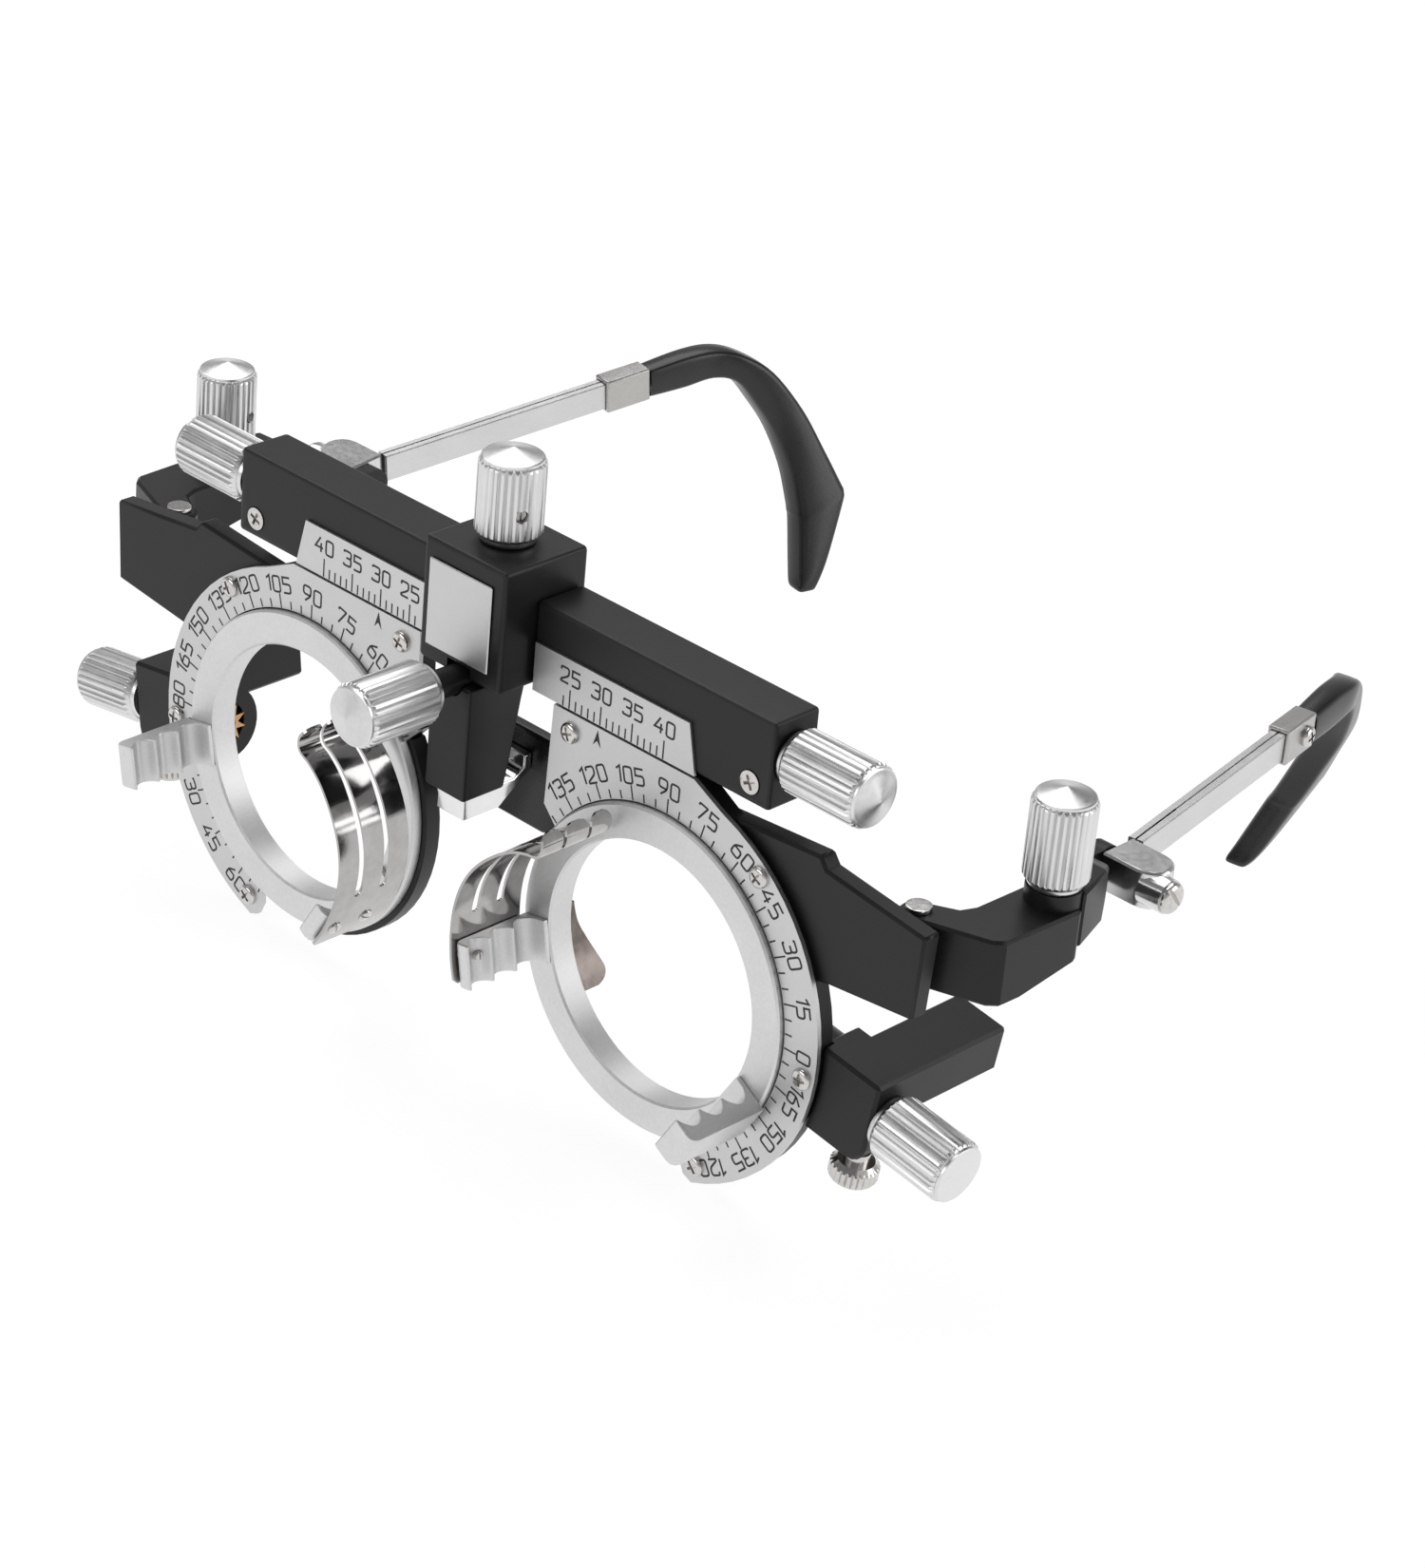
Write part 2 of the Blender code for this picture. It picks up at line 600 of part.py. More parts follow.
def build_hinge(slide, fold, tilt_knob):
    pin = rod("hinge_pin_r", (PIN_X, PIN_Y, -14.1), (PIN_X, PIN_Y, -5.9), 0.8, 16)
    join(pin, rod("pin_head", (PIN_X, PIN_Y, -5.95), (PIN_X, PIN_Y, -5.4), 1.5, 24, TOOLS))
    settle(pin, fold, NICKEL, (PIN_X, PIN_Y, -10))

    plan = arc(2.3, 90, 270, 10, (PIN_X, PIN_Y))
    plan += [(71.9, 7.0), (73.0, 8.2), (73.5, 19.6), (73.1, 20.6), (65.7, 20.6)]
    plan += [(65.5, 11.4), (64.8, 9.6)]
    bracket = prism("fold_bracket_r", plan, "Z", -14.2, -6.0)
    bevel(bracket, 0.35, 1)
    collar = arc(3.3, 20, -200, 14, (TILT_X, TILT_Y))
    join(bracket, prism("bracket_collar", collar, "Z", -7.0, -4.1, TOOLS))
    cut(
        bracket,
        box("bracket_slot", (58, 2, -11.95), (65.1, 9.3, -8.05), TOOLS),
        rod("bracket_eye", (PIN_X, PIN_Y, -16), (PIN_X, PIN_Y, -4), 0.88, 16, TOOLS),
        rod("bracket_bore", (TILT_X, TILT_Y, -10), (TILT_X, TILT_Y, -3), 0.75, 16, TOOLS),
        prism("bracket_wedge", [(9.0, -14.3), (9.0, -16), (23, -16), (23, -11.6)], "X", 60, 78, TOOLS),
    )
    settle(bracket, fold, BLACK, (PIN_X, PIN_Y, -10))

    front = [(66.2, 20.7, -4.2), (73.2, 20.7, -4.2), (73.2, 20.7, -11.2), (66.2, 20.7, -11.2)]
    bend = [(65.4, 26.6, -4.2), (71.4, 26.6, -4.2), (71.4, 26.6, -10.8), (65.4, 26.6, -10.8)]
    rear = [(60.95, 34.2, -8.6), (66.0, 34.2, -8.6), (66.0, 34.2, -13.4), (60.95, 34.2, -13.4)]
    arm = skin("tilt_arm_r", [front, bend, rear])
    bevel(arm, 0.3, 1)
    neck = box("arm_tongue", (60.95, 33.5, -13.2), (63.1, PIVOT_Y, -8.8), TOOLS)
    end = rod("arm_end", (60.95, PIVOT_Y, PIVOT_Z), (63.1, PIVOT_Y, PIVOT_Z), 2.4, 24, TOOLS)
    join(arm, neck, end)
    cut(arm, rod("arm_eye", (60, PIVOT_Y, PIVOT_Z), (64, PIVOT_Y, PIVOT_Z), 0.88, 16, TOOLS))
    settle(arm, fold, BLACK, (PIN_X, PIN_Y, -10))

    knob = fluted_knob("tilt_knob_r", (TILT_X, TILT_Y, -4.0), (TILT_X, TILT_Y, 8.0), 3.8)
    join(knob, rod("tilt_screw", (TILT_X, TILT_Y, -9.5), (TILT_X, TILT_Y, -3), 0.65, 16, TOOLS))
    settle(knob, tilt_knob, KNOB_METAL, (TILT_X, TILT_Y, -4.0))


def build_temple(tilt, length):
    pivot = Vector((PIN_X, PIVOT_Y, PIVOT_Z))
    outer = arc(2.7, -90, 90, 8, (68.4, 38.7))
    plan = [(63.35, 36.0)] + outer + [(63.35, 41.4)]
    mount = prism("temple_mount_r", plan, "Z", -13.4, -8.6)
    bevel(mount, 0.25, 1)
    boss = rod("mount_boss", (69, PIVOT_Y, PIVOT_Z), (72.3, PIVOT_Y, PIVOT_Z), 2.1, 24, TOOLS)
    join(mount, boss)
    cut(mount, rod("mount_eye", (62, PIVOT_Y, PIVOT_Z), (74, PIVOT_Y, PIVOT_Z), 0.88, 16, TOOLS))
    settle(mount, tilt, CHROME, pivot)

    screw = rod("pivot_screw_r", (61.1, PIVOT_Y, PIVOT_Z), (73, PIVOT_Y, PIVOT_Z), 0.78, 16)
    head = rod("pivot_head", (72.36, PIVOT_Y, PIVOT_Z), (73.3, PIVOT_Y, PIVOT_Z), 1.9, 24, TOOLS)
    join(screw, head)
    cut(screw, cross_slot("pivot_slot", (73.3, PIVOT_Y, PIVOT_Z), (1, 0, 0), 5, 0.5, 0.35)[0])
    settle(screw, tilt, NICKEL, pivot)

    temple = []
    outer_rod = box("temple_rod_r", (-1.0, 0.45, -3.7), (1.0, ROD_LENGTH, 0))
    cut(outer_rod, box("rod_groove", (-0.5, 2.0, -2.9), (0.5, 60, 1), TOOLS))
    temple.append((outer_rod, tilt, CHROME))

    sleeve = box("sleeve_r", (-1.5, 34.8, -4.2), (1.5, 41.8, 0.5))
    bevel(sleeve, 0.2, 1)
    cut(sleeve, box("sleeve_hole", (-1.05, 30, -3.75), (1.05, 50, 0.05), TOOLS))
    temple.append((sleeve, tilt, CHROME))

    clamp = rod("sleeve_screw_r", (1.55, 39.6, -1.85), (2.35, 39.6, -1.85), 1.35, 20, None, 1.0)
    cut(clamp, *cross_slot("clamp_slot", (2.35, 39.6, -1.85), (1, 0, 0), 1.5, 0.35, 0.3))
    temple.append((clamp, tilt, NICKEL))

    core = box("hook_core_r", (-0.42, 10.0, -2.8), (0.42, 42.0, -0.15))
    temple.append((core, length, CHROME))
    temple.append((ear_hook(), length, PLASTIC))

    turn = Matrix.Rotation(math.radians(TOE_IN), 4, "Z")
    place = Matrix.Translation((ROD_START - pivot) * MM) @ turn
    for piece, parent, look in temple:
        at = pivot if parent is tilt else ROD_START
        settle(piece, parent, look, (0, 0, 0))
        piece.location = (at - Vector(parent["at"])) * MM
        piece.data.transform(Matrix.Translation((pivot - at) * MM) @ place)


def ear_hook():
    """Stations of the hook: outer and inner edge in side view, inward offset and half width."""
    stations = [
        ((42.05, 0.2), (42.05, -4.0), 0.0, 1.6),
        ((48.4, 0.5), (47.3, -4.1), 0.2, 1.8),
        ((53.0, 0.0), (51.8, -3.9), 0.5, 1.9),
        ((56.5, -1.4), (55.0, -5.0), 1.6, 2.0),
        ((60.3, -4.5), (57.4, -8.8), 2.9, 2.1),
        ((64.0, -10.5), (59.2, -12.9), 4.6, 2.15),
        ((66.2, -16.5), (60.0, -18.0), 7.0, 2.15),
        ((67.7, -22.1), (59.6, -23.8), 9.5, 2.1),
        ((62.8, -30.0), (57.9, -30.8), 12.4, 1.9),
        ((60.2, -33.6), (57.2, -33.1), 13.5, 1.5),
    ]
    rings = []
    for (oy, oz), (iy, iz), inward, half in stations:
        ring = []
        for across, along in (
            (-1.0, 0.16),
            (-0.7, 0.0),
            (0.7, 0.0),
            (1.0, 0.16),
            (1.0, 0.84),
            (0.7, 1.0),
            (-0.7, 1.0),
            (-1.0, 0.84),
        ):
            y = oy + (iy - oy) * along
            z = oz + (iz - oz) * along
            ring.append((-inward + half * across, y, z))
        rings.append(ring)
    return skin("ear_hook_r", rings)


# ---------------------------------------------------------------- assembly


def build_frame():
    root = body("trial_frame", ORIGIN)
    height = body("nose_height", (0, HEIGHT_Y, 6), root)
    height_knob = body("nose_height_knob_axis", (0, HEIGHT_Y, 15.75), root)
    depth_knob = body("nose_depth_knob_axis", (0, -10.1, DEPTH_Z), height)
    depth = body("nose_depth", (0, 0, DEPTH_Z), height)
    build_bridge(root)
    build_nose(height, height_knob, depth_knob, depth)

    sides = {}
    for tag, sign, spin, tilt_rest in (
        ("r", 1, -RIGHT_TURN, REST_TILT_R),
        ("l", -1, 0.0, REST_TILT_L),
    ):
        def point(x, y, z):
            return (sign * x, y, z)

        knob_at = tilted(radial(34.3, 0))
        lock_at = tilted(radial(30.9, -7.3))
        pd_knob = body(f"pd_knob_axis_{tag}", point(44.6, LEAD_Y, LEAD_Z), root)
        slide = body(f"carriage_{tag}", point(LENS_X, 0, 0), root)
        ring = body(f"ring_axis_{tag}", point(LENS_X, 0, LENS_Z), slide, (0, spin, 0))
        axis_knob = body(f"axis_knob_axis_{tag}", point(*knob_at), slide)
        lock = body(f"lock_axis_{tag}", point(*lock_at), slide)
        fold = body(f"fold_axis_{tag}", point(PIN_X, PIN_Y, -10), slide)
        tilt_knob = body(f"tilt_knob_axis_{tag}", point(TILT_X, TILT_Y, -4.0), fold)
        tilt = body(
            f"tilt_axis_{tag}", point(PIN_X, PIVOT_Y, PIVOT_Z), fold, (tilt_rest, 0, 0)
        )
        length = body(f"length_axis_{tag}", point(*ROD_START), tilt)
        sides[tag] = (
            root,
            pd_knob,
            slide,
            ring,
            axis_knob,
            lock,
            fold,
            tilt_knob,
            tilt,
            length,
        )

    right = sides["r"]
    build_bar(root, right[1])
    build_carrier(right[2])
    build_gearbox(right[2], right[4], right[5])
    build_hinge(right[2], right[6], right[7])
    build_temple(right[8], right[9])
    build_ring(sides["l"][3])
    for obj in list(PARTS.objects):
        if obj.type != "MESH":
            continue
        for tag, other in (("r", "l"), ("l", "r")):
            if not obj.name.endswith("_" + tag):
                continue
            parents = dict(zip(sides[tag], sides[other]))
            mirrored(obj, obj.name[:-1] + other, parents[obj.parent])


clear_scene()
PARTS = collection("trial_frame_parts")
TOOLS = collection("trial_frame_cutters")
TOOLS.hide_render = True
build_frame()
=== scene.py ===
"""Looks of the adjustable optical trial frame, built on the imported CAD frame.

Lengths are millimetres in the CAD layout: X to the right, Y to the rear, Z up, with ORIGIN
moved to the world origin. Right-hand pieces are built first, and left-hand ones mirror them.
"""
import math

import bmesh
import bpy
from mathutils import Matrix, Vector

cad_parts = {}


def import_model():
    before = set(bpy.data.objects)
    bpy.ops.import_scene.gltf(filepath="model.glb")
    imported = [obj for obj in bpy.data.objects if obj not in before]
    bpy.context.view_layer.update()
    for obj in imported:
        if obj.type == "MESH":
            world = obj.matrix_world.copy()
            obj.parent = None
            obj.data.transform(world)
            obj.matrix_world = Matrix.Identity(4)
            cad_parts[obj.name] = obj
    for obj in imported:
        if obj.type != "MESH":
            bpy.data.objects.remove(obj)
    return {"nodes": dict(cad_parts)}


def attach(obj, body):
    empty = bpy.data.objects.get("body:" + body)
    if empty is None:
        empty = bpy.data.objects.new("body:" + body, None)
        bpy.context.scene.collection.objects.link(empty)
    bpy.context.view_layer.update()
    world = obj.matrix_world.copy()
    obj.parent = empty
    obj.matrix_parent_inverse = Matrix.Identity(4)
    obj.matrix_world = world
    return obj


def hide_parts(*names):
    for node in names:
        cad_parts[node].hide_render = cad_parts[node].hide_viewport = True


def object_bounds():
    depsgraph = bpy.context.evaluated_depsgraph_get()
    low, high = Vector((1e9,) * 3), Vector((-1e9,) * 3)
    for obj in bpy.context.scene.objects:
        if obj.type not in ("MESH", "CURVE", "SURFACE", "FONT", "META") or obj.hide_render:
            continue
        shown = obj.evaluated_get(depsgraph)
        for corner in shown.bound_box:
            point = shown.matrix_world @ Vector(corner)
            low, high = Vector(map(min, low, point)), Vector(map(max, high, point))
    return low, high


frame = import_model()
CAD_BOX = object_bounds()

MM = 0.001
ORIGIN = Vector((0.0, 7.7, -16.1))
SIDES = (("r", 1), ("l", -1))
LENS_X = 30.0
LENS_Z = -26.8
BORE_R = 16.1
RING_TURN = 20.0
GEAR_TILT = 8.3
PLATE_Y = -0.6
SCALE_Y = -0.4
PIVOT = Vector((62.17, 37.6, -11.0))
ROD_START = Vector((63.76, 41.2, -8.75))
TOE_IN = 10.0
REST_TILT = {"r": 0.66, "l": 6.5}
PD_KNOB = ((44.6, 3.4, 6), (57.4, 3.4, 6))
TILT_KNOB = ((69.66, 19.52, -4), (69.66, 19.52, 8))
HEIGHT_KNOB = ((0, 1.5, 15.75), (0, 1.5, 27))
AXIS_KNOB_REACH = (33.6, 44.8)
LOCK_SCREW_U = 30.9
LOCK_SCREW_V = (-7.3, -10.4)
LOCK_NECK = -1.34
TICK_START, TICK_LONG, TICK_SHORT = 20.66, 22.45, 21.7
LABEL_RADIUS = 23.6
LINE_WIDTH, FIGURE_STROKE = 0.2, 0.26
FLOOR_GAP = 0.0006
FOCAL_LENGTH, SENSOR_HEIGHT = 105.89673, 36.0
CAMERA_TURN = (41.793, 28.206, 5.353)
CAMERA_PLACE = (0.334705, -0.342043, 0.25654)

# ---------------------------------------------------------------- materials


def surface(name, low, high, rough, **extra):
    """A procedural finish: tone, roughness and relief all follow noise in the piece's own frame.

    scale and stretch give the grain, relief its bump height in millimetres, blotch the size
    of the slower changes in gloss, and rings adds turning marks around local Z.
    """
    mat = bpy.data.materials.new(name)
    mat.use_nodes = True
    tree = mat.node_tree
    shader = tree.nodes["Principled BSDF"]
    for socket in ("Metallic", "Anisotropic", "Specular IOR Level", "Coat Weight"):
        if socket in extra:
            shader.inputs[socket].default_value = extra[socket]
    coords = tree.nodes.new("ShaderNodeTexCoord")
    mapping = tree.nodes.new("ShaderNodeMapping")
    mapping.inputs["Scale"].default_value = extra.get("stretch", (1, 1, 1))
    tree.links.new(coords.outputs["Object"], mapping.inputs["Vector"])

    grain = tree.nodes.new("ShaderNodeTexNoise")
    grain.inputs["Scale"].default_value = extra.get("scale", 3000)
    grain.inputs["Detail"].default_value = 4
    tree.links.new(mapping.outputs["Vector"], grain.inputs["Vector"])
    blotch = tree.nodes.new("ShaderNodeTexNoise")
    blotch.inputs["Scale"].default_value = extra.get("blotch", 130)
    blotch.inputs["Detail"].default_value = 5
    blotch.inputs["Roughness"].default_value = 0.65
    tree.links.new(coords.outputs["Object"], blotch.inputs["Vector"])

    tone = tree.nodes.new("ShaderNodeValToRGB")
    tone.color_ramp.elements[0].position = 0.3
    tone.color_ramp.elements[1].position = 0.7
    tone.color_ramp.elements[0].color = (*low, 1)
    tone.color_ramp.elements[1].color = (*high, 1)
    mixed = tree.nodes.new("ShaderNodeMath")
    mixed.operation = "MULTIPLY_ADD"
    mixed.inputs[1].default_value = 0.5
    half = tree.nodes.new("ShaderNodeMath")
    half.operation = "MULTIPLY"
    half.inputs[1].default_value = 0.5
    tree.links.new(blotch.outputs["Fac"], half.inputs[0])
    tree.links.new(grain.outputs["Fac"], mixed.inputs[0])
    tree.links.new(half.outputs[0], mixed.inputs[2])
    tree.links.new(mixed.outputs[0], tone.inputs["Fac"])
    tree.links.new(tone.outputs["Color"], shader.inputs["Base Color"])

    gloss = tree.nodes.new("ShaderNodeMapRange")
    gloss.inputs["From Min"].default_value = 0.3
    gloss.inputs["From Max"].default_value = 0.7
    gloss.inputs["To Min"].default_value = rough[0]
    gloss.inputs["To Max"].default_value = rough[1]
    tree.links.new(mixed.outputs[0], gloss.inputs["Value"])
    tree.links.new(gloss.outputs["Result"], shader.inputs["Roughness"])

    height = grain.outputs["Fac"]
    if extra.get("rings"):
        wave = tree.nodes.new("ShaderNodeTexWave")
        wave.wave_type = "RINGS"
        wave.rings_direction = "Z"
        wave.inputs["Scale"].default_value = extra["rings"]
        wave.inputs["Distortion"].default_value = 0.6
        wave.inputs["Detail"].default_value = 2
        tree.links.new(coords.outputs["Object"], wave.inputs["Vector"])
        total = tree.nodes.new("ShaderNodeMath")
        total.operation = "ADD"
        tree.links.new(wave.outputs["Fac"], total.inputs[0])
        tree.links.new(height, total.inputs[1])
        height = total.outputs[0]
    bump = tree.nodes.new("ShaderNodeBump")
    bump.inputs["Strength"].default_value = extra.get("strength", 0.25)
    bump.inputs["Distance"].default_value = extra.get("relief", 0.02) * MM
    tree.links.new(height, bump.inputs["Height"])
    tree.links.new(bump.outputs["Normal"], shader.inputs["Normal"])
    if "Anisotropic" in extra:
        tangent = tree.nodes.new("ShaderNodeTangent")
        tangent.direction_type = "RADIAL"
        tangent.axis = "Z"
        tree.links.new(tangent.outputs["Tangent"], shader.inputs["Tangent"])
    return mat


def grey(value, warm=0.0):
    return (value * (1 + warm), value, value * (1 - warm))


METAL = {"Metallic": 1.0}
LOOKS = {
    "black": surface(
        "black_anodised", grey(0.006), grey(0.011), (0.34, 0.46), scale=5200, relief=0.03,
        strength=0.35, **{"Specular IOR Level": 0.3}
    ),
    "plastic": surface(
        "black_moulded", grey(0.004), grey(0.007), (0.24, 0.33), scale=2600, relief=0.03,
        strength=0.25, blotch=90, **{"Specular IOR Level": 0.5}
    ),
    "satin": surface(
        "satin_plate", grey(0.56), grey(0.64), (0.4, 0.5), scale=2200, relief=0.02,
        strength=0.2, stretch=(1, 1, 5), **METAL
    ),
    "ring": surface(
        "satin_ring", grey(0.62), grey(0.74), (0.42, 0.54), scale=2600, relief=0.03,
        strength=0.25, **METAL
    ),
    "knob": surface(
        "knob_flutes", grey(0.64), grey(0.78), (0.24, 0.4), scale=1500, relief=0.03,
        strength=0.3, stretch=(1, 1, 0.2), **METAL
    ),
    "face": surface(
        "knob_turned_end", grey(0.6), grey(0.7), (0.19, 0.27), scale=1500, relief=0.012,
        strength=0.35, rings=2600, Anisotropic=0.85, **METAL
    ),
    "disc": surface(
        "knob_faced_end", grey(0.72), grey(0.8), (0.32, 0.42), scale=2600, relief=0.02,
        strength=0.25, **METAL
    ),
    "screw": surface(
        "steel_thread", grey(0.5, 0.03), grey(0.62, 0.03), (0.22, 0.34), scale=2000,
        relief=0.02, **METAL
    ),
    "chrome": surface(
        "chrome", grey(0.74), grey(0.8), (0.06, 0.13), scale=900, relief=0.02,
        strength=0.12, **METAL
    ),
    "brushed": surface(
        "brushed_steel", grey(0.58), grey(0.68), (0.3, 0.42), scale=1800, relief=0.02,
        strength=0.25, stretch=(4, 0.25, 4), **METAL
    ),
    "mount": surface(
        "polished_mount", grey(0.62), grey(0.72), (0.14, 0.24), scale=1200, relief=0.02,
        strength=0.15, **METAL
    ),
    "sleeve": surface(
        "brushed_sleeve", grey(0.4, 0.03), grey(0.5, 0.03), (0.24, 0.38), scale=1800,
        relief=0.03, strength=0.3, stretch=(4, 0.25, 4), **METAL
    ),
    "spring": surface(
        "spring_steel", grey(0.36, 0.02), grey(0.48, 0.02), (0.07, 0.16), scale=700,
        relief=0.03, strength=0.2, **METAL
    ),
    "tongue": surface(
        "tempered_tongue", (0.13, 0.11, 0.1), (0.25, 0.215, 0.2), (0.2, 0.32), scale=900,
        relief=0.03, strength=0.2, **METAL
    ),
    "nickel": surface(
        "nickel", grey(0.5, 0.03), grey(0.66, 0.03), (0.1, 0.22), scale=1600, relief=0.02,
        strength=0.2, **METAL
    ),
    "brass": surface(
        "brass", (0.42, 0.25, 0.12), (0.62, 0.39, 0.2), (0.25, 0.38), scale=1500, relief=0.03,
        **METAL
    ),
    "ink": surface(
        "black_ink", grey(0.008), grey(0.016), (0.5, 0.65), scale=3000, relief=0.01
    ),
}

# ---------------------------------------------------------------- mesh tools


def world(point):
    return (Vector(point) - ORIGIN) * MM


def put(name, bm, looks, body, replaced=(), sign=1, matrix=None, angle=35.0):
    """Turns a bmesh into a riding piece: design millimetres, or local ones under matrix."""
    if matrix is None:
        if sign < 0:
            bmesh.ops.scale(bm, vec=(-1, 1, 1), verts=bm.verts)
        for vert in bm.verts:
            vert.co = world(vert.co)
    else:
        bmesh.ops.scale(bm, vec=(MM, MM, MM), verts=bm.verts)
    bmesh.ops.recalc_face_normals(bm, faces=bm.faces)
    mesh = bpy.data.meshes.new(name)
    bm.to_mesh(mesh)
    bm.free()
    for look in looks:
        mesh.materials.append(LOOKS[look])
    mesh.shade_smooth()
    mesh.set_sharp_from_angle(angle=math.radians(angle))
    obj = bpy.data.objects.new(name, mesh)
    bpy.context.scene.collection.objects.link(obj)
    if matrix is not None:
        obj.matrix_world = matrix
    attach(obj, body)
    if replaced:
        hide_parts(*replaced)
    return obj


def along(base, tip, sign=1):
    """Placement of a local frame at base with Z towards tip, mirrored for the left."""
    base = Vector((sign * base[0], base[1], base[2]))
    tip = Vector((sign * tip[0], tip[1], tip[2]))
    turn = (tip - base).to_track_quat("Z", "Y").to_matrix().to_4x4()
    return Matrix.Translation(world(base)) @ turn


def grid_skin(bm, rings, closed=False, poles=True):
    """Quads between rings of vertices, with the ends closed by fans or joined up."""
    rows = [[bm.verts.new(p) for p in ring] for ring in rings]
    pairs = list(zip(rows, rows[1:]))
    if closed:
        pairs.append((rows[-1], rows[0]))
    for a, b in pairs:
        for i in range(len(a)):
            j = (i + 1) % len(a)
            bm.faces.new((a[i], a[j], b[j], b[i]))
    if poles and not closed:
        for row in (rows[0], rows[-1]):
            middle = sum((v.co for v in row), Vector()) / len(row)
            pole = bm.verts.new(middle)
            for i in range(len(row)):
                bm.faces.new((row[i], row[(i + 1) % len(row)], pole))
    return rows


def lathe(stations, count=48, shape=None):
    """A turned solid around Z from (z, r) stations; shape(z, r, share) changes the radius."""
    bm = bmesh.new()
    rings = []
    for z, r in stations:
        ring = []
        for i in range(count):
            angle = math.tau * i / count
            radius = shape(z, r, i / count) if shape else r
            ring.append((radius * math.cos(angle), radius * math.sin(angle), z))
        rings.append(ring)
    grid_skin(bm, rings)
    return bm


def thread(z0, z1, radius, pitch=1.0, depth=0.2):
    """A screw with a real helical thread."""
    steps = int((z1 - z0) / pitch * 6)
    stations = [(z0 + (z1 - z0) * i / steps, radius) for i in range(steps + 1)]

    def shape(z, r, share):
        phase = (z / pitch - share) % 1.0
        ends = min(1.0, (z - z0) / 0.6)
        return r - depth * abs(2 * phase - 1) - 0.25 * (1 - ends)

    return lathe(stations, 18, shape)


def prism(outline, axis, low, high, bm=None):
    """A closed outline in the plane across axis, extruded from low to high."""
    bm = bm or bmesh.new()

    def at(p, h):
        return {"X": (h, p[0], p[1]), "Y": (p[0], h, p[1]), "Z": (p[0], p[1], h)}[axis]

    a = [bm.verts.new(at(p, low)) for p in outline]
    b = [bm.verts.new(at(p, high)) for p in outline]
    bm.faces.new(a)
    bm.faces.new(b[::-1])
    for i in range(len(a)):
        j = (i + 1) % len(a)
        bm.faces.new((a[i], b[i], b[j], a[j]))
    return bm


def soften(bm, width, segments=2, angle=40.0):
    """Rounds every edge sharper than angle."""
    bmesh.ops.recalc_face_normals(bm, faces=bm.faces)
    edges = [
        e for e in bm.edges
        if len(e.link_faces) == 2 and e.calc_face_angle(0) > math.radians(angle)
    ]
    bmesh.ops.bevel(
        bm, geom=edges, offset=width, segments=segments, profile=0.5, affect="EDGES"
    )
    return bm


def carve(bm, *cutters):
    """Exact Boolean difference of bmeshes."""
    objects = []
    for source in (bm, *cutters):
        bmesh.ops.recalc_face_normals(source, faces=source.faces)
        mesh = bpy.data.meshes.new("carve")
        source.to_mesh(mesh)
        source.free()
        obj = bpy.data.objects.new("carve", mesh)
        bpy.context.scene.collection.objects.link(obj)
        objects.append(obj)
    solid = objects[0]
    for tool in objects[1:]:
        step = solid.modifiers.new("cut", "BOOLEAN")
        step.operation = "DIFFERENCE"
        step.solver = "EXACT"
        step.object = tool
    bpy.context.view_layer.update()
    result = bmesh.new()
    result.from_object(solid, bpy.context.evaluated_depsgraph_get())
    for obj in objects:
        mesh = obj.data
        bpy.data.objects.remove(obj)
        bpy.data.meshes.remove(mesh)
    bmesh.ops.remove_doubles(result, verts=result.verts, dist=1e-5)
    return result


def block(low, high):
    outline = [(low[0], low[1]), (high[0], low[1]), (high[0], high[1]), (low[0], high[1])]
    return prism(outline, "Z", low[2], high[2])


def polar(radius, angle, centre=(0.0, 0.0)):
    a = math.radians(angle)
    return (centre[0] + radius * math.cos(a), centre[1] + radius * math.sin(a))


def smooth_path(points, steps):
    """Catmull-Rom through points of any dimension, steps to a span."""
    result = []
    for i in range(len(points) - 1):
        p0 = points[max(i - 1, 0)]
        p1, p2 = points[i], points[i + 1]
        p3 = points[min(i + 2, len(points) - 1)]
        for k in range(steps):
            t = k / steps
            result.append(tuple(
                0.5 * (2 * b + (c - a) * t + (2 * a - 5 * b + 4 * c - d) * t * t
                       + (3 * b - a - 3 * c + d) * t ** 3)
                for a, b, c, d in zip(p0, p1, p2, p3)
            ))
    result.append(tuple(points[-1]))
    return result


# ---------------------------------------------------------------- knobs

FLUTES = 30
FLUTE_DEPTH = 0.3


def fluted(radius, depth=FLUTE_DEPTH, flutes=FLUTES):
    """Flat-topped ridges with V grooves, never outside the plain profile's radius."""
    def shape(z, r, share):
        phase = (share * flutes) % 1.0
        groove = max(0.0, 1 - abs(phase - 0.5) / 0.3)
        return min(r, radius - depth * groove)
    return shape


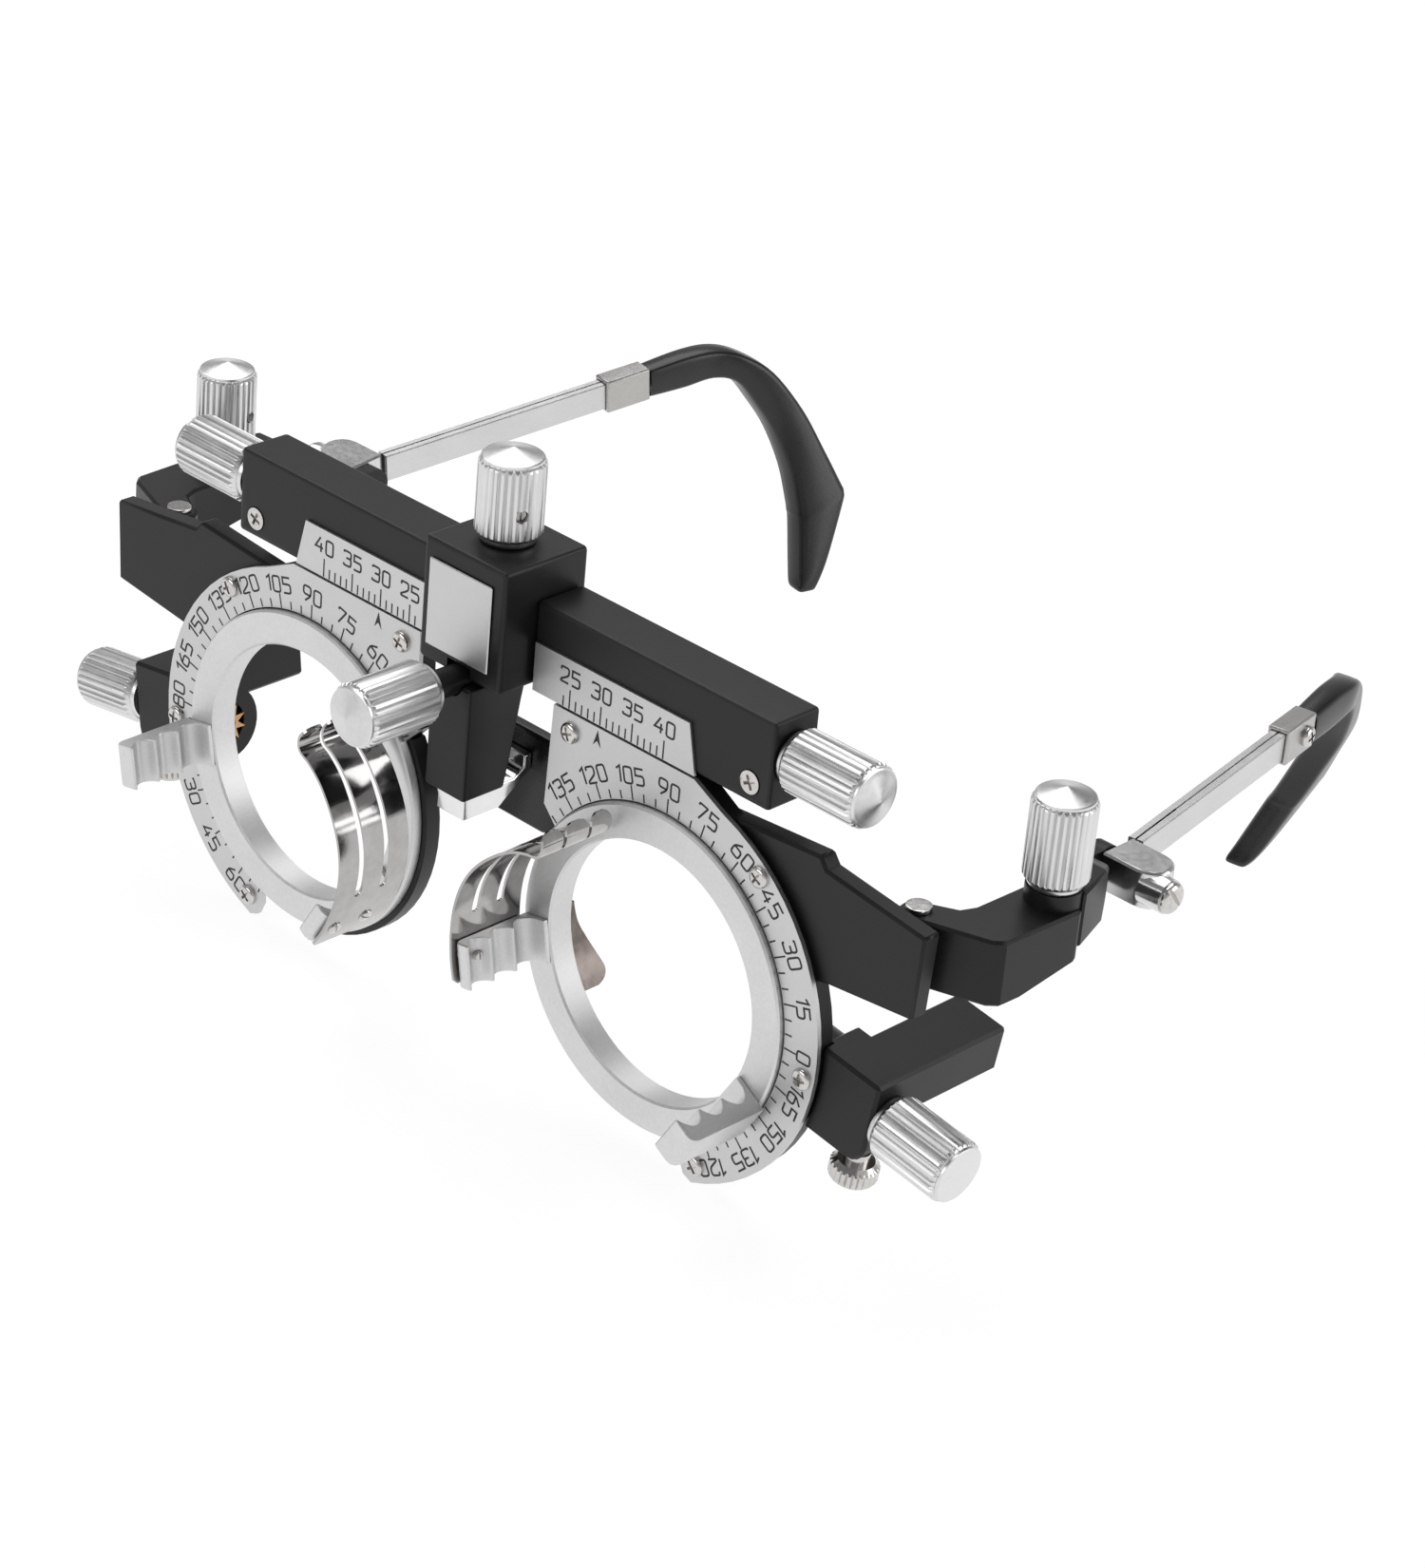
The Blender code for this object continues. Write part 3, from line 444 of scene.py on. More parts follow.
def knob(name, base, tip, radius, body, node, sign=1, bore=None, end="cone", recess=None):
    length = (Vector(tip) - Vector(base)).length
    cone = {"cone": 0.95, "flat": 0.12}[end]
    top = length - cone
    stations = []
    if bore:
        stations += [(bore[1], 0.02), (bore[1], bore[0]), (0.0, bore[0])]
    else:
        stations += [(0.0, 0.02)]
    stations += [(0.0, radius - 0.75), (0.25, radius - 0.62), (0.55, radius - 0.6)]
    stations += [(0.6 + 0.15 * i, radius - 0.5 + 0.125 * i) for i in range(5)]
    stations += [(top - 0.95 + 0.13 * i, radius - 0.08 * i * i / 4) for i in range(5)]
    stations += [(top - 0.4, radius - 0.42), (top - 0.38, radius - 0.34)]
    stations += [(top - 0.1, radius - 0.36), (top, radius - 0.5)]
    stations += [(top + 0.01, radius - 0.56)]
    for i in range(1, 7):
        share = i / 6
        stations.append((top + cone * share, 0.01 + (radius - 0.56) * (1 - share)))
    bm = lathe(stations, FLUTES * 10, fluted(radius))
    place = along(base, tip, sign)
    if recess:
        height, angle, size = recess
        outward = place.to_quaternion().inverted() @ Vector((*polar(1, angle), 0))
        angle = math.degrees(math.atan2(outward.y, outward.x))
        tool = lathe([(0, size), (radius * 2, size)], 28)
        turn = Matrix.Rotation(math.radians(angle), 4, "Z") @ Matrix.Rotation(math.pi / 2, 4, "Y")
        shift = Matrix.Translation((0, 0, height)) @ turn @ Matrix.Translation((0, 0, radius - 1.5))
        bmesh.ops.transform(tool, matrix=shift, verts=tool.verts)
        bm = carve(bm, tool)
        grub = carve(lathe([(0, 0.02), (0, size * 0.94), (0.75, size * 0.94), (0.85, size * 0.8)], 28),
                     block((-1, -0.13, 0.4), (1, 0.13, 1.5)))
        bmesh.ops.transform(grub, matrix=shift, verts=grub.verts)
        put(name.replace("fluted", "set_screw"), grub, ("screw",), body, matrix=place)
    for face in bm.faces:
        if face.calc_center_median().z > top - 0.02:
            face.material_index = 1
    looks = ("knob", "face" if end == "cone" else "disc")
    return put(name, bm, looks, body, (node,), matrix=place, angle=28)


def gear_point(u, v, y=3.4):
    """A point of the tilted gearbox frame: u out from the lens centre, v across it."""
    a = math.radians(GEAR_TILT)
    x = LENS_X + u * math.cos(a) + v * math.sin(a)
    return (x, y, LENS_Z - u * math.sin(a) + v * math.cos(a))


def make_knobs():
    for tag, sign in SIDES:
        knob(f"pd_knob_fluted_{tag}", *PD_KNOB, 3.9,
             f"pd_knob_{tag}", f"pd_knob_{tag}", sign)
        put(f"pd_lead_screw_{tag}", thread(-35.8, 0.1, 0.95), ("screw",), f"pd_knob_{tag}",
            matrix=along(*PD_KNOB, sign))
        facing = 15 if sign < 0 else 165
        knob(f"tilt_knob_fluted_{tag}", *TILT_KNOB, 3.8,
             f"tilt_knob_{tag}", f"tilt_knob_{tag}", sign, recess=(5.3, facing, 0.7))
        put(f"tilt_screw_{tag}", thread(-5.5, 0.1, 0.65, 0.8, 0.14), ("screw",),
            f"tilt_knob_{tag}",
            matrix=along(*TILT_KNOB, sign))
        base, tip = (gear_point(u, 0) for u in AXIS_KNOB_REACH)
        knob(f"axis_knob_fluted_{tag}", base, tip, 3.9, f"axis_knob_{tag}",
             f"axis_knob_{tag}", sign, end="flat")
        shaft = lathe([(-15.1, 0.6), (-14.9, 0.8), (0.1, 0.8)], 32)
        put(f"axis_shaft_{tag}", shaft, ("screw",), f"axis_knob_{tag}",
            matrix=along(base, tip, sign))
        base, tip = (gear_point(LOCK_SCREW_U, v) for v in LOCK_SCREW_V)
        stations = [(LOCK_NECK, 0.02), (LOCK_NECK, 1.5), (0.0, 1.5), (0.0, 2.2), (0.35, 2.55)]
        stations += [(0.5, 2.75), (0.65, 2.9), (2.1, 2.9), (2.35, 2.75), (2.6, 2.5)]
        stations += [(2.65, 2.05), (2.95, 1.9), (3.1, 0.02)]
        head = lathe(stations, 240, fluted(2.9, 0.26, 24))
        put(f"lock_screw_head_{tag}", head, ("nickel",), f"lock_screw_{tag}",
            (f"lock_screw_{tag}",), matrix=along(base, tip, sign))
        put(f"lock_thread_{tag}", thread(-4.3, -1.3, 0.95, 0.7, 0.15), ("nickel",),
            f"lock_screw_{tag}", matrix=along(base, tip, sign))
    knob("nose_height_fluted", *HEIGHT_KNOB, 4.0, "nose_height_knob",
         "nose_height_knob", recess=(4.2, -23, 0.78))
    put("nose_height_thread", thread(-13.3, 0.1, 0.95), ("screw",), "nose_height_knob",
        matrix=along(*HEIGHT_KNOB))
    knob("nose_depth_fluted", (0, -10.1, -0.2), (0, -22.4, -0.2), 3.9, "nose_depth_knob",
         "nose_depth_knob", bore=(1.1, 9.3))


# ---------------------------------------------------------------- lens cells


def make_ring(tag):
    """Left-hand ring layout about the lens centre, mirrored and turned for the right."""
    count = 288
    profile = [(16.1, -1.15), (16.35, -1.4), (20.15, -1.4), (20.4, -1.15), (20.4, -0.05)]
    profile += [(19.3, -0.05), (19.3, 0.3), (18.3, 0.3), (17.6, 0.28), (17.5, 2.05)]
    profile += [(17.25, 2.3), (16.35, 2.3), (16.1, 2.05)]
    rings = []
    for i in range(count):
        tooth = 0.4 if i % 4 in (2, 3) else 0.0
        ring = []
        for k, (r, y) in enumerate(profile):
            x, z = polar(r, 360 * i / count)
            ring.append((x, y + (tooth if k in (6, 7) else 0.0), z))
        rings.append(ring)
    bm = bmesh.new()
    grid_skin(bm, rings, closed=True)
    ring_piece("lens_ring_turned", bm, "ring", tag, "lens_ring", 30)

    for letter, angle, outer in (("a", 191.0, 21.0), ("b", 329.0, 20.0)):
        side = [(16.15, -1.42), (16.15, -2.1)]
        for start in (-2.1, -5.7, -9.3):
            for k in range(13):
                share = k / 12
                bulge = math.sin(math.pi * share ** 0.85) ** 0.8
                side.append((17.6 + 1.5 * bulge, start - 3.3 * share))
        side += [(17.6, -12.7), (17.8, -12.9), (outer - 1.2, -12.9)]
        side += [(outer - 0.55, -12.72), (outer - 0.15, -12.25), (outer, -11.7), (outer, -1.42)]
        post = prism(side, "Z", -2.75, 2.75)
        soften(post, 0.16, 2, 50)
        if letter == "b":
            inward = Matrix.Translation((19.4, -10.3, 0.6)) @ Matrix.Rotation(
                -math.pi / 2, 4, "Y")
            hole = lathe([(0.0, 0.56), (2.6, 0.56)], 24)
            bmesh.ops.transform(hole, matrix=inward, verts=hole.verts)
            post = carve(post, hole)
            grub = carve(lathe([(0.3, 0.02), (0.3, 0.54), (0.9, 0.54), (1.0, 0.45)], 24),
                         block((-1, -0.12, 0.75), (1, 0.12, 1.5)))
            turn = Matrix.Rotation(math.radians(-angle), 4, "Y")
            bmesh.ops.transform(grub, matrix=turn @ inward, verts=grub.verts)
            ring_piece("post_set_screw", grub, "screw", tag, None, 35)
        bmesh.ops.rotate(post, cent=(0, 0, 0), verts=post.verts,
                         matrix=Matrix.Rotation(math.radians(-angle), 3, "Y"))
        flatten(ring_piece(f"post_{letter}_scalloped", post, "ring", tag, f"post_{letter}", 40))

    reach = [(-57, 4.6), (-55, 5.8), (-51, 6.4), (-44, 5.7), (-36, 4.6), (-28, 3.5), (-18, 2.75)]
    sections = []
    for angle, y in smooth_path(reach, 5):
        section = []
        for radius, depth in ((16.4, 2.32), (16.4, y), (16.48, y + 0.06), (16.67, y + 0.06),
                              (16.75, y), (16.75, 2.32)):
            x, z = polar(radius, angle)
            section.append((x, depth, z))
        sections.append(section)
    bm = bmesh.new()
    grid_skin(bm, sections)
    ring_piece("rear_spring_bent", bm, "tongue", tag, "rear_spring", 40)
    make_leaf(tag)


def ring_piece(name, bm, look, tag, node, angle):
    """Moves a piece built about the left lens centre into its cell."""
    if tag == "r":
        bmesh.ops.scale(bm, vec=(-1, 1, 1), verts=bm.verts)
        bmesh.ops.rotate(bm, cent=(0, 0, 0), verts=bm.verts,
                         matrix=Matrix.Rotation(math.radians(RING_TURN), 3, "Y"))
    shift = Vector((LENS_X if tag == "r" else -LENS_X, 0, LENS_Z))
    bmesh.ops.translate(bm, vec=shift, verts=bm.verts)
    replaced = (f"{node}_{tag}",) if node else ()
    return put(f"{name}_{tag}", bm, (look,), f"ring_{tag}", replaced, angle=angle)


def make_leaf(tag):
    """The three-fingered retaining spring: a flat comb that is bent along its path."""
    path = [(20.45, -38), (20.45, -30), (20.45, -20), (20.5, -10), (20.4, 0), (20.0, 10)]
    path += [(19.4, 20), (18.8, 30), (18.1, 38), (17.5, 43), (17.75, 46), (18.7, 48.2)]
    path += [(20.2, 48.6)]
    line = smooth_path([polar(r, a) for r, a in path], 6)
    lengths = [0.0]
    for a, b in zip(line, line[1:]):
        lengths.append(lengths[-1] + math.dist(a, b))
    total = lengths[-1]
    split = lengths[15]

    def rounded(s, y0, y1, outward):
        """Half-round end of a finger, or of the slot between two."""
        mid, half = (y0 + y1) / 2, abs(y1 - y0) / 2
        turn = 1 if y1 > y0 else -1
        return [
            (s + outward * half * math.cos(math.pi * (k / 8 - 0.5)),
             mid + turn * half * math.sin(math.pi * (k / 8 - 0.5))) for k in range(9)
        ]

    outline = [(0.5, -13.0)]
    outline += rounded(total - 1.45, -13.0, -9.8, 1)
    outline += rounded(split + 0.55, -10.1, -9.0, -1)
    outline += rounded(total - 1.4, -9.3, -5.85, 1)
    outline += rounded(split + 0.55, -6.2, -5.1, -1)
    outline += rounded(total - 1.45, -5.4, -2.2, 1)
    outline += [(0.5, -2.2), (0.0, -2.7), (0.0, -12.5)]
    clean = [outline[0]]
    for point in outline[1:]:
        if math.dist(point, clean[-1]) > 1e-4:
            clean.append(point)
    bm = prism(clean, "Z", -0.17, 0.17)
    bm.normal_update()
    bmesh.ops.triangulate(bm, faces=[f for f in bm.faces if len(f.verts) > 4])
    for s in lengths[1:-1]:
        geom = bm.verts[:] + bm.edges[:] + bm.faces[:]
        bmesh.ops.bisect_plane(bm, geom=geom, dist=1e-5, plane_co=(s, 0, 0), plane_no=(1, 0, 0))
    for vert in bm.verts:
        s = min(max(vert.co.x, 0.0), total)
        i = max(k for k in range(len(lengths)) if lengths[k] <= s + 1e-9)
        i = min(i, len(line) - 2)
        share = (s - lengths[i]) / (lengths[i + 1] - lengths[i])
        a, b = Vector(line[i]), Vector(line[i + 1])
        before = (Vector(line[i]) - Vector(line[max(i - 1, 0)]))
        after = (Vector(line[min(i + 2, len(line) - 1)]) - b)
        here = (b - a).normalized()
        start = (here + (before.normalized() if before.length else here)).normalized()
        end = (here + (after.normalized() if after.length else here)).normalized()
        tangent = start.lerp(end, share).normalized()
        point = a.lerp(b, share) + Vector((tangent.y, -tangent.x)) * vert.co.z
        vert.co = (point.x, vert.co.y, point.y)
    ring_piece("spring_leaf", bm, "spring", tag, "spring_clip", 50)

    heads = bmesh.new()
    for y, turn in ((-11.2, 20), (-6.3, 65)):
        angle = -28.5
        head = pan_head(0.95, 0.5, turn, "slot")
        x, z = polar(20.5, angle)
        place = Matrix.Translation((x, y, z)) @ Matrix.Rotation(
            math.radians(90 - angle), 4, "Y")
        merge(heads, head, place)
    ring_piece("leaf_screws", heads, "nickel", tag, None, 35)


# ---------------------------------------------------------------- screws


def pan_head(radius, height, turn=0.0, drive="cross", depth=0.35):
    """A domed screw head on the plane z 0, with a cross recess or a slot."""
    stations = [(-0.3, 0.02), (-0.3, radius * 0.9), (0, radius), (height * 0.3, radius)]
    for k in range(1, 7):
        a = math.pi / 2 * k / 6
        stations.append((height * (0.3 + 0.7 * math.sin(a)), max(0.02, radius * math.cos(a) ** 0.6)))
    head = lathe(stations, 32)
    top = height + 0.5
    low = height - depth
    if drive == "cross":
        reach = radius * 0.62
        tools = []
        for flip in (0, 1):
            tool = block((-reach, -radius * 0.13, low), (reach, radius * 0.13, top))
            bmesh.ops.rotate(tool, cent=(0, 0, 0), verts=tool.verts,
                             matrix=Matrix.Rotation(math.pi / 2 * flip, 3, "Z"))
            tools.append(tool)
    else:
        tools = [block((-radius * 1.5, -radius * 0.14, low), (radius * 1.5, radius * 0.14, top))]
    head = carve(head, *tools)
    bmesh.ops.rotate(head, cent=(0, 0, 0), verts=head.verts,
                     matrix=Matrix.Rotation(math.radians(turn), 3, "Z"))
    return head


def merge(target, source, matrix):
    bmesh.ops.transform(source, matrix=matrix, verts=source.verts)
    mesh = bpy.data.meshes.new("merge")
    source.to_mesh(mesh)
    source.free()
    target.from_mesh(mesh)
    bpy.data.meshes.remove(mesh)


def make_screws():
    facing = Matrix.Rotation(math.pi / 2, 4, "X")
    for tag, sign in SIDES:
        heads = bmesh.new()
        for i, (x, z) in enumerate(((14.2, -2.7), (44.6, -7.7), (53.8, -29.3), (39.2, -48.3))):
            head = pan_head(1.32, 0.7, 20 + 37 * i, "cross", 0.45)
            merge(heads, head, Matrix.Translation((x, PLATE_Y, z)) @ facing)
        put(f"protractor_screws_{tag}", heads, ("nickel",), f"carriage_{tag}",
            sign=sign)

        flat = lathe([(-0.87, 0.02), (-0.87, 1.25), (-0.2, 1.38), (-0.02, 1.4), (0, 1.32)], 40)
        tools = [block((-0.9, -0.2, -0.45), (0.9, 0.2, 1)),
                 block((-0.2, -0.9, -0.45), (0.2, 0.9, 1))]
        flat = carve(flat, *tools)
        bmesh.ops.rotate(flat, cent=(0, 0, 0), verts=flat.verts,
                         matrix=Matrix.Rotation(math.radians(25), 3, "Z"))
        bmesh.ops.transform(flat, verts=flat.verts,
                            matrix=Matrix.Translation((41.26, -0.12, 2.5)) @ facing)
        put(f"bar_screw_cross_{tag}", flat, ("nickel",), "bridge",
            (f"bar_screw_{tag}",), sign=sign)

        outward = Matrix.Rotation(math.pi / 2, 4, "Y")
        pivot = pan_head(1.9, 0.9, 35, "slot", 0.45)
        merge(pivot, lathe([(-11.26, 0.6), (-11.1, 0.78), (-0.2, 0.78)], 24), Matrix())
        bmesh.ops.transform(pivot, verts=pivot.verts,
                            matrix=Matrix.Translation((72.38, 37.6, -11)) @ outward)
        placed = temple_matrix(tag)
        put(f"pivot_screw_slotted_{tag}", pivot, ("nickel",), f"temple_{tag}",
            (f"pivot_screw_{tag}",), sign=sign)
        clamp = pan_head(1.3, 0.75, 15, "cross", 0.4)
        bmesh.ops.transform(clamp, verts=clamp.verts, matrix=placed @ Matrix.Translation(
            (1.56, 39.6, -1.85)) @ outward)
        put(f"sleeve_screw_cross_{tag}", clamp, ("nickel",), f"temple_{tag}",
            (f"sleeve_screw_{tag}",), sign=sign)


# ---------------------------------------------------------------- temples


def temple_matrix(tag):
    """Temple-local millimetres to right-hand layout, at this side's rest tilt."""
    tilt = Matrix.Rotation(math.radians(REST_TILT[tag]), 4, "X")
    place = Matrix.Translation(ROD_START - PIVOT) @ Matrix.Rotation(math.radians(TOE_IN), 4, "Z")
    return Matrix.Translation(PIVOT) @ tilt @ place


def make_rod(tag, sign):
    """A folded tube with a thin seam along its top, round the sliding core."""
    wall = [(-1.0, -3.55), (-0.85, -3.7), (0.85, -3.7), (1.0, -3.55), (1.0, -0.12), (0.88, 0)]
    wall += [(0.12, 0), (0.12, -0.1), (0.5, -0.1), (0.5, -2.95), (-0.5, -2.95), (-0.5, -0.1)]
    wall += [(-0.12, -0.1), (-0.12, 0), (-0.88, 0), (-1.0, -0.12)]
    bm = prism(wall, "Y", 0.45, 41.6)
    bmesh.ops.transform(bm, matrix=temple_matrix(tag), verts=bm.verts)
    put(f"temple_rod_tube_{tag}", bm, ("brushed",), f"temple_{tag}",
        (f"temple_rod_{tag}",), sign=sign, angle=30)


def make_hook(tag, sign):
    stations = [
        (42.05, 0.1, 42.05, -3.95, 0.0, 1.5),
        (42.5, 0.2, 42.5, -4.0, 0.0, 1.62),
        (48.4, 0.5, 47.3, -4.1, 0.2, 1.8),
        (53.0, 0.0, 51.8, -3.9, 0.5, 1.9),
        (56.5, -1.4, 55.0, -5.0, 1.6, 2.0),
        (60.3, -4.5, 57.4, -8.8, 2.9, 2.1),
        (64.0, -10.5, 59.2, -12.9, 4.6, 2.15),
        (66.0, -16.3, 60.0, -18.0, 7.0, 2.15),
        (67.45, -20.9, 59.8, -22.4, 8.9, 2.12),
        (67.7, -22.2, 59.6, -23.8, 9.55, 2.1),
        (67.0, -23.7, 59.4, -24.9, 10.1, 2.08),
        (62.8, -30.0, 57.9, -30.8, 12.4, 1.9),
        (60.35, -33.1, 57.2, -32.8, 13.45, 1.55),
        (59.9, -33.6, 57.7, -33.35, 13.55, 1.0),
    ]
    rings = []
    for oy, oz, iy, iz, inward, half in smooth_path(stations, 5):
        ring = []
        for k in range(20):
            a = math.tau * k / 20
            c, s = math.cos(a), math.sin(a)
            across = math.copysign(abs(c) ** 0.4, c)
            share = 0.5 - 0.5 * math.copysign(abs(s) ** 0.4, s)
            ring.append((-inward + half * across, oy + (iy - oy) * share, oz + (iz - oz) * share))
        rings.append(ring)
    bm = bmesh.new()
    grid_skin(bm, rings)
    bmesh.ops.transform(bm, matrix=temple_matrix(tag), verts=bm.verts)
    put(f"ear_hook_moulded_{tag}", bm, ("plastic",), f"hook_{tag}",
        (f"ear_hook_{tag}",), sign=sign, angle=60)


# ---------------------------------------------------------------- scales

WIDE = 0.66
DIGITS = {
    "0": (WIDE, [(((0, 0.5), (0, 1), (WIDE, 1), (WIDE, 0), (0, 0), (0, 0.5)), 0.2)]),
    "1": (0.3, [(((0, 0.8), (0.3, 1), (0.3, 0)), 0.0)]),
    "2": (WIDE, [(((0, 0.78), (0, 1), (WIDE, 1), (WIDE, 0.52), (0, 0.12), (0, 0), (WIDE, 0)), 0.2)]),
    "3": (WIDE, [(((0, 0.88), (0, 1), (WIDE, 1), (WIDE, 0.53), (0.22, 0.53)), 0.2),
                 (((0.4, 0.53), (WIDE, 0.53), (WIDE, 0), (0, 0), (0, 0.14)), 0.2)]),
    "4": (WIDE + 0.05, [(((0.46, 1), (0, 0.3), (WIDE + 0.05, 0.3)), 0.0),
                        (((0.54, 0.62), (0.54, 0)), 0.0)]),
    "5": (WIDE, [(((WIDE, 1), (0, 1), (0, 0.57), (0.3, 0.57)), 0.0),
                 (((0.0, 0.57), (WIDE, 0.57), (WIDE, 0), (0, 0)), 0.2)]),
    "6": (WIDE, [(((0.48, 1), (0, 0.58), (0, 0), (WIDE, 0), (WIDE, 0.56), (0.06, 0.56)), 0.2)]),
    "7": (WIDE, [(((0, 0.84), (0, 1), (WIDE, 1), (0.22, 0)), 0.06)]),
    "8": (WIDE, [(((0.35, 0.54), (0, 0.54), (0, 0), (WIDE, 0), (WIDE, 0.54), (0.35, 0.54)), 0.18),
                 (((0.35, 0.54), (0.05, 0.54), (0.05, 1), (0.65, 1), (0.65, 0.54), (0.35, 0.54)), 0.18)]),
    "9": (WIDE, [(((WIDE - 0.48, 0), (WIDE, 0.42), (WIDE, 1), (0, 1), (0, 0.44), (0.64, 0.44)), 0.2)]),
}
LETTER_GAP = 0.3


def fillet(points, radius):
    if radius <= 0:
        return [Vector(p) for p in points]
    points = [Vector(p) for p in points]
    result = [points[0]]
    for before, here, after in zip(points, points[1:], points[2:]):
        a, b = before - here, after - here
        reach = min(radius, a.length / 2, b.length / 2)
        start = here + a.normalized() * reach
        end = here + b.normalized() * reach
        for t in (0, 0.25, 0.5, 0.75, 1):
            result.append(start * (1 - t) ** 2 + here * 2 * t * (1 - t) + end * t * t)
    result.append(points[-1])
    return [p for i, p in enumerate(result) if i == 0 or (p - result[i - 1]).length > 1e-4]


def ribbon(bm, points, width, front, back):
    """A closed bar of ink along a line in the XZ plane."""
    left, right = [], []
    for i, p in enumerate(points):
        before = (p - points[i - 1]).normalized() if i else None
        after = (points[i + 1] - p).normalized() if i + 1 < len(points) else None
        a, b = before or after, after or before
        mid = (a + b).normalized()
        reach = width / 2 / max(mid.dot(a), 0.5)
        out = Vector((-mid.y, mid.x)) * reach
        left.append(p + out)
        right.append(p - out)
    rings = []
    for l, r in zip(left, right):
        rings.append([(l.x, front, l.y), (l.x, back, l.y), (r.x, back, r.y), (r.x, front, r.y)])
    rows = [[bm.verts.new(p) for p in ring] for ring in rings]
    for a, b in zip(rows, rows[1:]):
        for i in range(4):
            j = (i + 1) % 4
            bm.faces.new((a[i], a[j], b[j], b[i]))
    bm.faces.new(rows[0])
    bm.faces.new(rows[-1][::-1])


def number(bm, text, centre, right, up, height, stroke, front):
    """Draws text centred on a point of the plate, with the given right and up directions."""
    total = sum(DIGITS[c][0] for c in text) + LETTER_GAP * (len(text) - 1)
    pen = -total / 2
    for char in text:
        wide, strokes = DIGITS[char]
        for k, (points, radius) in enumerate(strokes):
            line = [
                centre + right * (p.x + pen) * height + up * (p.y - 0.5) * height
                for p in fillet(points, radius)
            ]
            ribbon(bm, line, stroke, front - 0.004 * k, front + 0.05)
        pen += wide + LETTER_GAP


def make_scales():
    for tag, sign in SIDES:
        bm = bmesh.new()
        front = PLATE_Y - 0.02
        centre = Vector((sign * LENS_X, LENS_Z))
        low, high = (-70, 145) if sign > 0 else (35, 250)
        for angle in range(low, high + 1, 5):
            out = Vector(polar(1, angle))
            reach = TICK_LONG if angle % 15 == 0 else TICK_SHORT
            line = [centre + out * TICK_START, centre + out * reach]
            ribbon(bm, line, LINE_WIDTH, front, PLATE_Y + 0.05)
            if angle % 15 == 0 and low + 8 <= angle <= high - 8:
                label = 0 if sign > 0 and angle == 0 else (angle % 180 or 180)
                up = -out if sign < 0 and angle > 180 else out
                number(bm, str(label), centre + out * LABEL_RADIUS, Vector((up.y, -up.x)), up, 1.95,
                       FIGURE_STROKE, front)
        tip = Vector((sign * 18.4, -0.62))
        arrow = [(0, 0), (-0.62, -2.05), (0, -1.35), (0.62, -2.05)]
        rows = [[bm.verts.new((tip.x + x, y, tip.y + z)) for x, z in arrow]
                for y in (front, PLATE_Y + 0.05)]
        bm.faces.new(rows[0])
        bm.faces.new(rows[1][::-1])
        for i in range(4):
            j = (i + 1) % 4
            bm.faces.new((rows[0][i], rows[1][i], rows[1][j], rows[0][j]))
        put(f"protractor_marks_{tag}", bm, ("ink",), f"carriage_{tag}")

        bm = bmesh.new()
        front = SCALE_Y - 0.02
        for value in range(24, 41):
            x = sign * (13.43 + value - 25)
            top = 2.3 if value % 5 == 0 else 1.25
            line = [Vector((x, -0.02)), Vector((x, top))]
            ribbon(bm, line, LINE_WIDTH, front, SCALE_Y + 0.05)
            if value % 5 == 0:
                number(bm, str(value), Vector((x - 0.1, 3.9)), Vector((1, 0)), Vector((0, 1)),
                       1.85, FIGURE_STROKE, front)
        put(f"pd_scale_marks_{tag}", bm, ("ink",), "bridge")


# ---------------------------------------------------------------- CAD nodes that stay

KEPT = {
    "bar_": ("black", 0.12), "bridge_block": ("black", 0.12), "fold_bracket_": ("black", 0.12),
    "gearbox_": ("black", 0.1), "lens_carrier_": ("black", 0.08), "tilt_arm_": ("black", 0.15),
    "nose_carriage": ("black", 0.08), "nose_slider": ("black", 0.12),
    "bridge_badge": ("satin", 0.05), "pd_scale_": ("satin", 0.04), "protractor_": ("satin", 0.04),
    "hinge_pin_": ("nickel", 0.06), "temple_mount_": ("mount", 0.07),
    "sleeve_": ("sleeve", 0.08), "hook_core_": ("brushed", 0.06),
    "nose_bracket": ("chrome", 0.08), "nose_rest": ("plastic", 0.2), "pinion_": ("brass", 0.05),
}


def flatten(obj):
    """Keeps broad faces flat and lets their rounded edges carry the highlights."""
    normals = obj.modifiers.new("normals", "WEIGHTED_NORMAL")
    normals.keep_sharp = True
    normals.weight = 100


def smooth_group():
    """Smooth shading that keeps edges sharper than 35 degrees."""
    group = bpy.data.node_groups.new("smooth_by_angle", "GeometryNodeTree")
    group.interface.new_socket("Geometry", in_out="INPUT", socket_type="NodeSocketGeometry")
    group.interface.new_socket("Geometry", in_out="OUTPUT", socket_type="NodeSocketGeometry")
    nodes, link = group.nodes, group.links.new
    start, end = nodes.new("NodeGroupInput"), nodes.new("NodeGroupOutput")
    angle = nodes.new("GeometryNodeInputMeshEdgeAngle")
    test = nodes.new("FunctionNodeCompare")
    test.operation = "LESS_EQUAL"
    test.inputs["B"].default_value = math.radians(35)
    faces = nodes.new("GeometryNodeSetShadeSmooth")
    faces.domain = "FACE"
    edges = nodes.new("GeometryNodeSetShadeSmooth")
    edges.domain = "EDGE"
    link(start.outputs[0], faces.inputs["Geometry"])
    link(faces.outputs[0], edges.inputs["Geometry"])
    link(angle.outputs["Unsigned Angle"], test.inputs["A"])
    link(test.outputs[0], edges.inputs["Shade Smooth"])
    link(edges.outputs[0], end.inputs[0])
    return group


